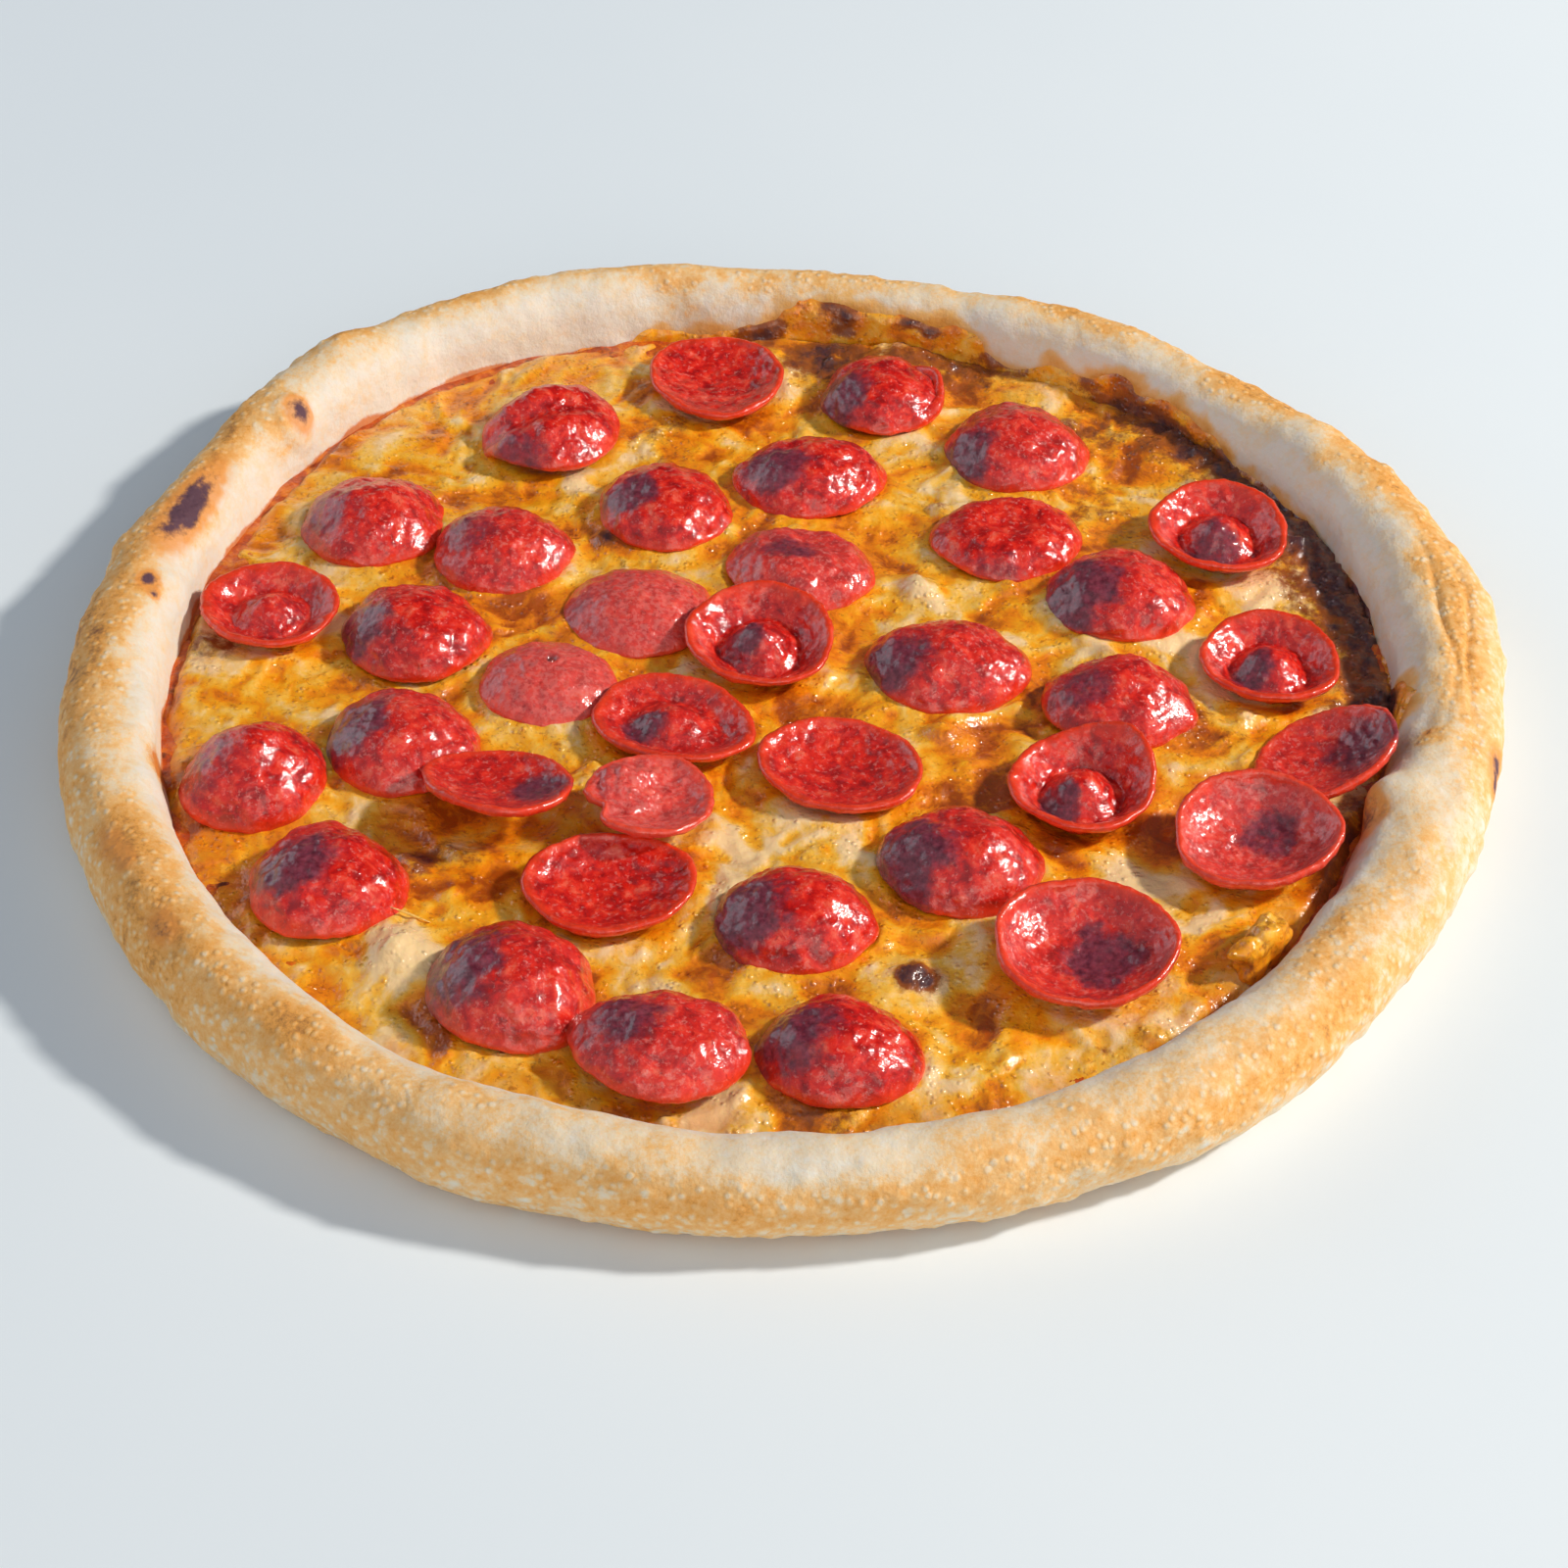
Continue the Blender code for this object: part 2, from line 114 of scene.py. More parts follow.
def node(tree, kind, output, inputs, **settings):
    """One output of a new node that has the given settings and is fed the given inputs."""
    made = tree.nodes.new("ShaderNode" + kind)
    for name, value in settings.items():
        setattr(made, name, value)
    for name, value in inputs.items():
        feed(tree, made.inputs[name], value)
    return made.outputs[output]


def noise(tree, scale, detail=4.0, rough=0.55, warp=0.0):
    """Noise on object coordinates, about 0.5; scale is in waves to the metre."""
    place = node(tree, "TexCoord", "Object", {})
    inputs = {"Vector": place, "Scale": scale, "Detail": detail, "Roughness": rough, "Distortion": warp}
    return node(tree, "TexNoise", "Fac", inputs)


def between(tree, value, low, high):
    """0 below low, 1 above high, with a smooth rise between."""
    inputs = {"Value": value, "From Min": low, "From Max": high}
    return node(tree, "MapRange", "Result", inputs, interpolation_type="SMOOTHSTEP")


def ramp(tree, value, stops):
    """A colour read off a row of (place, colour) stops."""
    made = tree.nodes.new("ShaderNodeValToRGB")
    feed(tree, made.inputs["Fac"], value)
    elements = made.color_ramp.elements
    while len(elements) < len(stops):
        elements.new(1.0)
    for element, (place, colour) in zip(elements, stops):
        element.position = place
        element.color = (*colour, 1)
    return made.outputs["Color"]


def blend(tree, share, first, second):
    """The first colour, giving way to the second as share rises from 0 to 1."""
    return node(tree, "Mix", "Result", {"Factor": share, "A": first, "B": second}, data_type="RGBA")


def add_piece(name, points, faces, material, values=None):
    """A smooth mesh object of the given points and faces, with a named value for each point."""
    mesh = bpy.data.meshes.new(name)
    mesh.from_pydata(points.reshape(-1, 3), [], faces)
    mesh.shade_smooth()
    for label, numbers in (values or {}).items():
        layer = mesh.attributes.new(label, "FLOAT", "POINT")
        layer.data.foreach_set("value", np.ascontiguousarray(numbers.ravel(), np.float32))
    mesh.materials.append(material)
    mesh.update()
    piece = bpy.data.objects.new(name, mesh)
    scene.collection.objects.link(piece)
    return piece


# The room is brighter in front than on the far side, which the wet cheese mirrors.
DIM_WAY = (0.1, 0.754, 0.657)      # from the pizza to the middle of the dim part
BRIGHT_ROOM = (0.34, 0.395, 0.455)
DIM_ROOM = (0.05, 0.06, 0.075)
FLOOR_REACH = 20
FLOOR_DROP = 0.3 * MM

room = bpy.data.worlds.new("room")
room.use_nodes = True
tree = room.node_tree
looking = node(tree, "TexCoord", "Generated", {})
facing = node(tree, "VectorMath", "Value", {0: looking, 1: DIM_WAY}, operation="DOT_PRODUCT")
far_side = between(tree, facing, 0.35, 0.85)
room_colour = blend(tree, far_side, BRIGHT_ROOM, DIM_ROOM)
tree.links.new(room_colour, tree.nodes["Background"].inputs["Color"])
scene.world = room

floor_corners = np.array([(-1, -1, 0), (1, -1, 0), (1, 1, 0), (-1, 1, 0)])
floor_points = floor_corners * FLOOR_REACH - (0, 0, FLOOR_DROP)
floor_finish, tree, shader = new_material("pale_floor", 0.55, 0.3)
tone = ramp(tree, noise(tree, 3), ((0.3, (0.80, 0.87, 0.92)), (0.7, (0.84, 0.90, 0.94))))
tree.links.new(tone, shader.inputs["Base Color"])
floor = add_piece("floor", floor_points, [(0, 1, 2, 3)], floor_finish)

# The dough. The real piece is one round of bread dough with a puffed rim, baked hot and fast,
# so it is cream inside, golden on its crest, and charred where a blister stood up. It is made
# as an upright oval section carried round the pizza, with bubbles, dents and fine blisters.
PIZZA_RADIUS = 154.5 * MM
BASE_THICKNESS = 4.5 * MM
RIM_WIDTH = 19.8 * MM
RIM_HEIGHT = 22.3 * MM
WALL_FOOT = 1.6 * MM
WALL_TOP = 166                # degrees round the rim's section at which its straight inner wall begins
WALL_END = 200                # where that wall meets the base
SOLID_STEPS = 96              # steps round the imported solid, which set where its middle lies
RIM_STEPS = 880
RIM_ROWS = 98

# The rim's slow swells: waves round it, swell of the outline, of the width and of the height
# in mm, and where the first crest lies
RIM_SWELLS = (
    (1, 0, 1.9, 0, 329), (1, 0, 0, 1.3, 90), (2, 0, 1.9, 0.4, 0), (3, 2.4, 0.4, 0.3, 12),
    (4, 1.5, 0.3, 0.4, 30), (6, 0.8, 0.3, 0.4, 7), (9, 0.3, 0.4, 0.4, 21), (13, 0.25, 0.3, 0.35, 3),
)

# Bubbles and dents of the rim: degrees round the pizza, degrees round the rim's own section
# (0 outside, 90 on the crest, 180 inside), length round the pizza, breadth and rise in mm
RIM_BUBBLES = (
    (134, 60, 15, 12, 1.4), (145, 140, 12, 9, 2.2), (167, 60, 15, 14, 1.5), (190, 150, 20, 8, 1.6),
    (216, 70, 34, 16, 1.4), (238, 50, 22, 14, 0.8), (256, 0, 24, 16, -1.4),
    (276, 150, 13, 12, -2.4), (300, 60, 26, 14, 0.9), (331, 95, 18, 14, -1.4),
    (342, 150, 14, 13, 3.4), (352, 120, 12, 10, -1.8), (8, 35, 24, 12, 1.2), (30, 90, 30, 14, 0.8),
    (60, 10, 22, 14, -1.4), (80, 150, 30, 10, 1.2), (103, 120, 18, 12, -1.2),
    (116, 10, 30, 16, -1.2),
)

# Browned patches of the rim, placed as the bubbles are, with how brown each is
RIM_BROWNED = (
    (134, 65, 15, 9, 0.42), (146, 126, 20, 13, 0.36), (155, 95, 24, 8, 0.3), (168, 84, 34, 9, 0.34),
    (186, 82, 34, 10, 0.3), (162, 112, 22, 12, 0.5), (174, 115, 7, 5, 0.5), (150, 70, 26, 8, 0.25),
    (180, 75, 30, 10, 0.22), (206, 80, 24, 14, 0.32), (216, 60, 36, 20, 0.42),
    (232, 85, 30, 10, 0.3), (196, 160, 12, 7, 0.4), (252, 112, 44, 7, 0.2),
    (268, 78, 120, 13, -0.2), (306, 22, 70, 10, 0.3), (268, 12, 90, 12, 0.24),
    (290, 58, 26, 8, 0.12), (180, 45, 80, 9, 0.3), (322, 112, 34, 7, 0.34), (190, 25, 60, 14, 0.24),
    (222, 15, 40, 12, 0.18), (318, 35, 46, 12, 0.26), (175, 95, 14, 8, 0.2),
    (340, 158, 11, 9, 0.62), (12, 104, 12, 6, 0.26), (29, 116, 7, 5, 0.34), (44, 100, 16, 8, 0.28),
    (56, 98, 14, 7, 0.26), (349, 118, 8, 6, 0.45), (2, 82, 40, 7, 0.28), (20, 70, 46, 7, 0.3),
    (40, 62, 50, 8, 0.42), (62, 72, 30, 8, 0.3), (92, 110, 30, 14, 0.26), (101, 135, 12, 10, 0.25),
    (120, 80, 34, 8, 0.25),
)

# Charred spots of the rim, in the same form
RIM_CHARRED = (
    (144.5, 134, 7, 6, 1), (162, 106, 30, 8, 1.1), (173.5, 112, 5, 4, 0.9),
    (175, 124, 2.6, 2.4, 0.8), (339, 158, 14, 9, 0.55), (350, 116, 2.2, 2, 0.5),
    (207, 62, 12, 6, 0.3), (210, 70, 7, 4, 0.35), (218, 62, 9, 6, 0.45), (349, 24, 10, 6, 0.62),
    (347, 20, 4, 3.5, 0.5),
)

# A smear of sauce on the inner wall, in the same form
SAUCE_SMEARS = ((196, 172, 12, 10, 1.0),)


def mound(distance, reach):
    """1 at no distance, falling smoothly to a third at the reach and to nothing far beyond it."""
    return np.exp(-((distance / reach) ** 2))


def away(angle, direction):
    """How far an angle lies from a direction in degrees, the short way round, in radians."""
    return np.angle(np.exp(1j * (angle - radians(direction))))


def smooth_step(value):
    """0 below 0 and 1 above 1, with a smooth rise between."""
    value = np.clip(value, 0, 1)
    return value * value * (3 - 2 * value)


def angles(steps):
    """Evenly spaced angles once round."""
    return np.arange(steps) * 2 * math.pi / steps


def grain(points, size, seed):
    """Smooth random relief, mostly from -1 to 1: at each corner of a lattice of the given size in
    mm stands a random slope, and the slopes are blended by smooth steps between the corners."""
    slopes = np.random.default_rng(seed).normal(size=(40, 40, 40, 3))
    slopes /= np.linalg.norm(slopes, axis=-1, keepdims=True)
    place = points / (size * MM) + 17.3
    cell = np.floor(place).astype(int)
    part = place - cell
    share = part**3 * (part * (part * 6 - 15) + 10)
    total = 0
    for corner in np.ndindex(2, 2, 2):
        slope = slopes[tuple(((cell + corner) % 40).reshape(-1, 3).T)].reshape(points.shape)
        weight = np.prod(np.where(corner, share, 1 - share), axis=-1)
        total += weight * ((part - corner) * slope).sum(axis=-1)
    return 1.6 * total


def layered(points, layers):
    """Sum of layers of random relief: the height and spacing of each in mm, and its seed."""
    return sum(rise * grain(points, size, seed) for rise, size, seed in layers)


def rough_grain(points, size, seed, octaves=4, fall=0.5):
    """Sum of ever finer and weaker random relief."""
    return sum(fall**k * grain(points, size / 2**k, seed + k) for k in range(octaves))


def blisters(points, spacing, share, seed):
    """Round caps at random places, from 0 to 1: one in a share of a lattice's cells, spacing mm
    wide, each as wide as a random part of the cell, and the highest counts where two meet."""
    rng = np.random.default_rng(seed)
    centres = rng.random((40, 40, 40, 3))
    widths = rng.uniform(0.25, 0.62, (40, 40, 40)) * (rng.random((40, 40, 40)) < share)
    place = points / (spacing * MM) + 17.3
    cell = np.floor(place).astype(int)
    top = np.zeros(points.shape[:-1])
    for corner in np.ndindex(3, 3, 3):
        near = cell + corner - 1
        index = tuple((near % 40).reshape(-1, 3).T)
        centre = near + centres[index].reshape(points.shape)
        width = widths[index].reshape(top.shape)
        distance = np.linalg.norm(place - centre, axis=-1) / np.maximum(width, 1e-6)
        top = np.maximum(top, np.clip(1 - distance**2, 0, 1) * width / 0.62)
    return top


def rim_swell(theta, column):
    """Sum of the slow waves round the rim; column picks outline, width or height."""
    return sum(row[column] * MM * np.cos(row[0] * away(theta, row[4])) for row in RIM_SWELLS)


def rim_patches(theta, psi, rows, unit=1.0):
    """Sum of the smooth mounds that the rows place on the rim, each rise times the unit."""
    total = np.zeros(np.broadcast(theta, psi).shape)
    for place, level, length, breadth, rise in rows:
        round_pizza = mound(away(theta, place) * PIZZA_RADIUS, length * MM / 2)
        round_rim = mound((psi - radians(level)) * RIM_WIDTH / 2, breadth * MM / 2)
        total += rise * unit * round_pizza * round_rim
    return total


def rim_section(theta, psi, lift):
    """Radius and height of the rim's skin, raised by lift, at theta round the pizza and psi
    round the rim's section. The section is an upright oval, and from WALL_TOP on a straight wall
    down to the base."""
    half_width = (RIM_WIDTH + rim_swell(theta, 2)) / 2
    half_height = (RIM_HEIGHT + rim_swell(theta, 3)) / 2
    outline = PIZZA_RADIUS + rim_swell(theta, 1)
    top = radians(WALL_TOP)
    level = np.minimum(psi, top)
    bubbles = rim_patches(theta, level, RIM_BUBBLES, MM)
    radius = outline - half_width + (half_width + bubbles) * np.cos(level)
    height = half_height + (half_height + bubbles) * np.sin(level)
    down = np.clip((psi - top) / radians(WALL_END - WALL_TOP), 0, 1)
    foot = outline - 2 * half_width - WALL_FOOT
    radius = radius + (foot - radius) * down
    height = height + (BASE_THICKNESS - height) * down
    return radius + lift * np.cos(level), height + lift * np.sin(level)


# How high cheese ran up the inner wall: degrees round the pizza, width in degrees, and height
# above the sheet of cheese in mm
CLIMBS = (
    (81, 13, 11.4), (59, 5.5, 6.6), (50, 5.5, 8.4), (43, 4, 3.4), (37, 9, 2.8), (23, 9, 1.6),
    (9, 8, 1.2), (357, 3.4, 10.5), (350, 5, 2), (100, 6, 2.4),
)


def climbed(theta):
    """Height that the cheese reached on the wall: a level, and a flat topped lobe for each row."""
    lobes = 0 * theta
    for place, width, rise in CLIMBS:
        lobes += rise * np.exp(-((away(theta, place) / radians(width)) ** 4))
    return (8 + lobes) * MM


solid_round = angles(SOLID_STEPS)[:, None]
solid_levels = np.radians((-90, -66, -44, -22, 0, 20, 40, 58, 76, 94, 112, 130, 148, 166))
solid_widest = rim_section(solid_round, solid_levels[None, :], 0)[0].max(axis=1)
solid_outline = solid_widest[:, None] * np.hstack([np.cos(solid_round), np.sin(solid_round)])
PIZZA_MIDDLE = (solid_outline.min(axis=0) + solid_outline.max(axis=0)) / 2


def on_pizza(theta, radius, height):
    """Points at angles, radii and heights about the rim's own axis, in the part's frame."""
    x = radius * np.cos(theta) - PIZZA_MIDDLE[0]
    y = radius * np.sin(theta) - PIZZA_MIDDLE[1]
    return np.stack(np.broadcast_arrays(x, y, height), axis=-1)


def grid_faces(rows, columns, wrapped):
    """The quads of a grid of points, closed round where wrapped."""
    first = np.arange(rows - 1)[:, None] * columns
    along = np.arange(columns if wrapped else columns - 1)[None, :]
    ahead = (along + 1) % columns
    corners = (first + along, first + ahead, first + columns + ahead, first + columns + along)
    return np.stack(corners, axis=-1).reshape(-1, 4).tolist()


def border_of(index):
    """The outermost entries of a grid, once round."""
    return np.concatenate([index[0, :-1], index[:-1, -1], index[-1, :0:-1], index[:0:-1, 0]])


def closed_faces(rows, columns):
    """The faces of rings of points closed by a first pole, rows * columns, and a last one."""
    ring = np.arange(columns)
    ahead = (ring + 1) % columns
    last = (rows - 1) * columns
    start = np.stack([np.full(columns, rows * columns), ahead, ring], axis=-1)
    end = np.stack([np.full(columns, rows * columns + 1), last + ring, last + ahead], axis=-1)
    return start.tolist() + grid_faces(rows, columns, True) + end.tolist()


def rim_relief(theta, psi):
    """The rim's own fine relief: soft lumps, wrinkles, and small blisters on the outer wall."""
    points = on_pizza(theta, *rim_section(theta, psi, 0))
    outside = smooth_step((radians(105) - psi) / radians(50))
    relief = layered(points, ((0.9, 17, 3), (0.4, 7.5, 4), (0.14, 3.4, 5), (0.05, 1.9, 6)))
    relief += (0.15 + 0.45 * outside) * blisters(points, 4.2, 0.5, 8)
    relief += 0.22 * outside * blisters(points, 2.4, 0.6, 9)
    along = away(theta, 4) * PIZZA_RADIUS / MM
    creases = mound((psi - radians(72)) * 11 + 1.2 * np.sin(along / 9), 0.8)
    creases += mound((psi - radians(96)) * 11 - 1.0 * np.sin(along / 7 + 1), 0.7)
    relief = relief - 0.9 * creases * mound(along, 26)
    blister_rim = np.hypot(away(theta, 145) * PIZZA_RADIUS, (psi - radians(138)) * RIM_WIDTH / 2)
    relief += 0.5 * mound(blister_rim - 5 * MM, 1.1 * MM)
    return relief * MM


rim_round = angles(RIM_STEPS)[None, :]
rim_levels = np.radians(np.linspace(-90, WALL_END, RIM_ROWS))[:, None]
rim_fine = rim_relief(rim_round, rim_levels)
rim_radius, rim_height = rim_section(rim_round, rim_levels, rim_fine)
rim_height = np.maximum(rim_height, 0)
rim_height[0] = 0
rim_points = on_pizza(rim_round, rim_radius, rim_height)
rim_poles = on_pizza(np.zeros(2), np.zeros(2), np.array([0, BASE_THICKNESS]))

crest = mound(rim_levels - radians(72), radians(42)) * np.ones_like(rim_round)
wandering = rough_grain(rim_points, 26, 21, 3)
mottled = rough_grain(rim_points, 5, 25, 4, 0.65)
outer = smooth_step((radians(70) - rim_levels) / radians(50))
pale_side = 0.6 * mound(away(rim_round, 318), 0.4)
pale_bubbles = 0.35 * blisters(rim_points, 4.2, 0.5, 8)
pale_bubbles += 1.4 * blisters(rim_points, 2.4, 0.6, 9)
browned = 0.12 + 0.27 * crest + 0.17 * wandering * (0.4 + crest) + 0.1 * mottled
browned += outer * (0.28 * (1 - pale_side) - 0.28 * pale_bubbles)
browned += rim_patches(rim_round, rim_levels, RIM_BROWNED) * (1 + 0.5 * mottled)
under = smooth_step((radians(-48) - rim_levels) / radians(25))
browned += 0.35 * under - 0.09 * smooth_step((rim_levels - radians(110)) / 0.5)
browned = np.minimum(browned, 0.25 + 0.5 * browned)
charred = rim_patches(rim_round, rim_levels, RIM_CHARRED) * (1 + 0.4 * mottled)
sauce_line = rim_height + 1.6 * MM * grain(rim_points, 9, 27)
inside = smooth_step((rim_levels - radians(125)) / radians(25))
sauced = inside * smooth_step((10.2 * MM - sauce_line) / (2.4 * MM))
sauced += rim_patches(rim_round, rim_levels, SAUCE_SMEARS)
stain_top = climbed(rim_round)
stain_edge = stain_top + 3.5 * MM + 3 * MM * rough_grain(rim_points, 8, 29, 3)
glazed = smooth_step((stain_top - 8.6 * MM) / (2 * MM))
glazed = glazed * smooth_step((rim_levels - radians(88)) / 0.4)
glazed = glazed * np.clip((stain_edge - rim_height) / (6 * MM), 0, 1)


def with_ends(values, ends=(0, 0)):
    """Values from 0 to 1 for a grid of points, and then for the points that close it."""
    return np.append(np.clip(values, 0, 1), ends)


def plus(tree, first, second):
    """The sum of two values."""
    return node(tree, "Math", 0, {0: first, 1: second}, operation="ADD")


def times(tree, first, second):
    """The product of two values."""
    return node(tree, "Math", 0, {0: first, 1: second}, operation="MULTIPLY")


def painted(tree, name):
    """A value that the mesh itself carries."""
    return node(tree, "Attribute", "Fac", {}, attribute_name=name)


def cells(tree, scale):
    """Distance to the nearest of scattered points; scale is in points to the metre."""
    place = node(tree, "TexCoord", "Object", {})
    return node(tree, "TexVoronoi", "Distance", {"Vector": place, "Scale": scale})


def tint(tree, colour, cover, strength, shade):
    """The colour, giving way to a shade by the cover times the strength."""
    return blend(tree, times(tree, cover, strength), colour, shade)


def let_light_in(shader, weight, reach, scale):
    """Light that enters the food: its share, its reach by colour, and the size in metres."""
    shader.inputs["Subsurface Weight"].default_value = weight
    shader.inputs["Subsurface Radius"].default_value = reach
    shader.inputs["Subsurface Scale"].default_value = scale


def finish(tree, shader, colour, depths):
    """The colour and the fine relief of a finish, and of any wet coat over it.

    The relief is rows of (height from 0 to 1, real depth in metres), one over the other.
    """
    tree.links.new(colour, shader.inputs["Base Color"])
    below = {}
    for height, depth in depths:
        normal = node(tree, "Bump", "Normal", {"Height": height, "Distance": depth, **below})
        below = {"Normal": normal}
    for socket in ("Normal", "Coat Normal"):
        tree.links.new(normal, shader.inputs[socket])


crust_finish, tree, shader = new_material("baked_crust", 0.68, 0.25)
speckle = plus(tree, noise(tree, 520, 6, 0.8), -0.5)
granules = between(tree, cells(tree, 470), 0.5, 0.1)
where_brown = between(tree, painted(tree, "browned"), 0.28, 0.5)
granules = times(tree, granules, where_brown)
mixed = plus(tree, speckle, times(tree, granules, -0.26))
shade = plus(tree, times(tree, painted(tree, "browned"), 1.1), mixed)
colour = ramp(tree, shade, (
    (0.0, (0.80, 0.73, 0.62)),
    (0.25, (0.83, 0.65, 0.43)),
    (0.45, (0.87, 0.52, 0.21)),
    (0.7, (0.82, 0.37, 0.08)),
    (1.0, (0.25, 0.10, 0.04)),
))
halo = between(tree, painted(tree, "charred"), 0.01, 0.26)
colour = tint(tree, colour, halo, 0.8, (0.80, 0.30, 0.06))
blackened = plus(tree, painted(tree, "charred"), times(tree, speckle, 0.9))
colour = blend(tree, between(tree, blackened, 0.32, 0.75), colour, (0.12, 0.055, 0.075))
stain = plus(tree, painted(tree, "sauced"), speckle)
colour = tint(tree, colour, between(tree, stain, 0.3, 0.8), 0.85, (0.66, 0.17, 0.012))
oiled = times(tree, painted(tree, "glazed"), plus(tree, speckle, 1.0))
colour = tint(tree, colour, between(tree, oiled, 0.0, 0.5), 0.8, (0.84, 0.42, 0.07))
colour = tint(tree, colour, between(tree, oiled, 0.4, 0.9), 0.8, (0.66, 0.25, 0.02))
let_light_in(shader, 0.12, (1.0, 0.55, 0.3), 0.003)
finish(tree, shader, colour, (
    (noise(tree, 420, 5, 0.6), 0.00035),
    (noise(tree, 1800, 3, 0.6), 0.00007),
    (granules, 0.00022),
))

dough = add_piece(
    "baked_dough_crust",
    np.concatenate([rim_points.reshape(-1, 3), rim_poles]),
    closed_faces(RIM_ROWS, RIM_STEPS),
    crust_finish,
    {
        "glazed": with_ends(glazed),
        "sauced": with_ends(sauced),
        "browned": with_ends(browned, (0.5, 0.2)),
        "charred": with_ends(charred),
    },
)
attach(dough, "root")
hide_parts("dough_crust")

# The sauce. The real one is a thin coat of crushed tomato under the cheese, which has baked to
# an orange red film where it shows along the rim. It is a round sheet whose edge swells up and
# runs a little way up the dough's wall.
SAUCE_STEPS = 900
SAUCE_ROWS = 30
SAUCE_BAND = 14 * MM          # the visible band along the wall
SAUCE_UNDERSIDE = 4.9 * MM
SAUCE_TOP = 5.9 * MM

sauce_round = angles(SAUCE_STEPS)[None, :]


def wall_radius(theta, height):
    """Radius of the rim's straight inner wall at a height."""
    low, low_height = rim_section(theta, radians(WALL_END), 0)
    high, high_height = rim_section(theta, radians(WALL_TOP), 0)
    return low + (high - low) * (height - low_height) / (high_height - low_height)


def wet(shader, weight, roughness):
    """A wet coat over the finish: its share and its roughness."""
    shader.inputs["Coat Weight"].default_value = weight
    shader.inputs["Coat Roughness"].default_value = roughness


sauce_across = np.linspace(0, 1, SAUCE_ROWS)[:, None]
sauce_spot = on_pizza(sauce_round, PIZZA_RADIUS - 20 * MM, 0.0)
sauce_edge_height = 8.4 * MM + 0.9 * MM * rough_grain(sauce_spot, 16, 31, 3)
sauce_height = SAUCE_TOP + (sauce_edge_height - SAUCE_TOP) * smooth_step(sauce_across * 1.6)
sauce_radius = wall_radius(sauce_round, sauce_height) + 0.9 * MM - SAUCE_BAND * (1 - sauce_across)
sauce_points = on_pizza(sauce_round, sauce_radius, sauce_height)
sauce_lumps = rough_grain(sauce_points, 4, 35, 3) * 0.45 * MM
sauce_points[..., 2] += sauce_lumps * smooth_step((1 - sauce_across) * 9)
sauce_under = on_pizza(sauce_round, sauce_radius[-1:] - 0.4 * MM, np.array([[SAUCE_UNDERSIDE]]))
sauce_rings = np.concatenate([sauce_under, sauce_points[::-1]])
sauce_poles = on_pizza(np.zeros(2), np.zeros(2), np.array([SAUCE_UNDERSIDE, SAUCE_TOP]))

sauce_finish, tree, shader = new_material("baked_tomato_sauce", 0.3)
colour = ramp(tree, noise(tree, 240, 5, 0.6, 0.6), (
    (0.3, (0.30, 0.030, 0.004)),
    (0.48, (0.58, 0.085, 0.005)),
    (0.62, (0.78, 0.21, 0.010)),
    (0.78, (0.88, 0.42, 0.05)),
))
colour = blend(tree, between(tree, noise(tree, 130, 4), 0.6, 0.7), colour, (0.14, 0.03, 0.01))
wet(shader, 0.5, 0.1)
finish(tree, shader, colour, ((noise(tree, 700, 4), 0.0005),))

sauce = add_piece(
    "baked_sauce_layer",
    np.concatenate([sauce_rings.reshape(-1, 3), sauce_poles]),
    closed_faces(SAUCE_ROWS + 1, SAUCE_STEPS),
    sauce_finish,
)
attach(sauce, "root")
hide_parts("tomato_sauce")

# The cheese. Real shredded mozzarella melts into one uneven sheet: cream where it is thick,
# amber where orange oil has soaked it, freckled brown on its bubbles and nearly black along the
# hottest side. It is a square grid folded into a round, with its relief and stains worked out
# from the same random relief, so that the stains follow the lumps.
CHEESE_TOP = 9.2 * MM
CHEESE_UNDERSIDE = 6.3 * MM
CHEESE_EDGE = 7.3 * MM
CHEESE_STEPS = 300            # along each side of the grid

# Lumps of the cheese: x, y, radius and rise, all in millimetres
CHEESE_LUMPS = (
    (-75, -87, 9, 2.6), (30, 35, 6, 2.2), (34, -16, 6, 2.2), (20, -92, 6, 1.4), (41, -112, 9, 1.6),
    (90, -78, 8, 3.4), (-64, 108, 10, 1.4), (-40, 118, 7, 1), (-49, 66, 8, 1), (-14, -98, 8, 1.2),
    (-64, -68, 9, 1.6), (6, -54, 9, 1.4), (82, -20, 8, 1.2), (58, 112, 11, 2.2), (84, 90, 10, 2),
    (110, 58, 9, 1.8), (-8, 126, 9, 2), (26, 126, 11, 2.6), (-106, 84, 9, 1), (-124, -8, 8, 1),
)

# Small round bumps that stand on it, in the same form
CHEESE_BUMPS = (
    (-76, -87, 6, 1.6), (28, 35, 4.5, 1.3), (32, -16, 4.5, 1.3), (19, -77, 4, 1.3),
    (38, -77, 4, 1.3), (25, -88, 3, 1.2), (-76, -60, 4, 1.2), (72, -104, 6, 1.2), (80, -96, 4, 1),
    (44, -104, 4, 0.9),
)

# Where the cheese stayed cream, with x, y, radius in millimetres and how strongly
CREAM_PATCHES = (
    (-75, -87, 7, 1), (28, 35, 5, 0.15), (32, -16, 5, 0.12), (19, -77, 4, 0.3), (38, -77, 4, 0.3),
    (-2, -52, 16, 0.35), (62, -108, 16, 0.35), (66, -62, 12, 0.12), (-108, -6, 14, 0.3),
    (-70, 92, 14, 0.25), (-88, -92, 12, 0.15), (86, 14, 12, 0.3), (-40, -6, 8, 0.3),
)

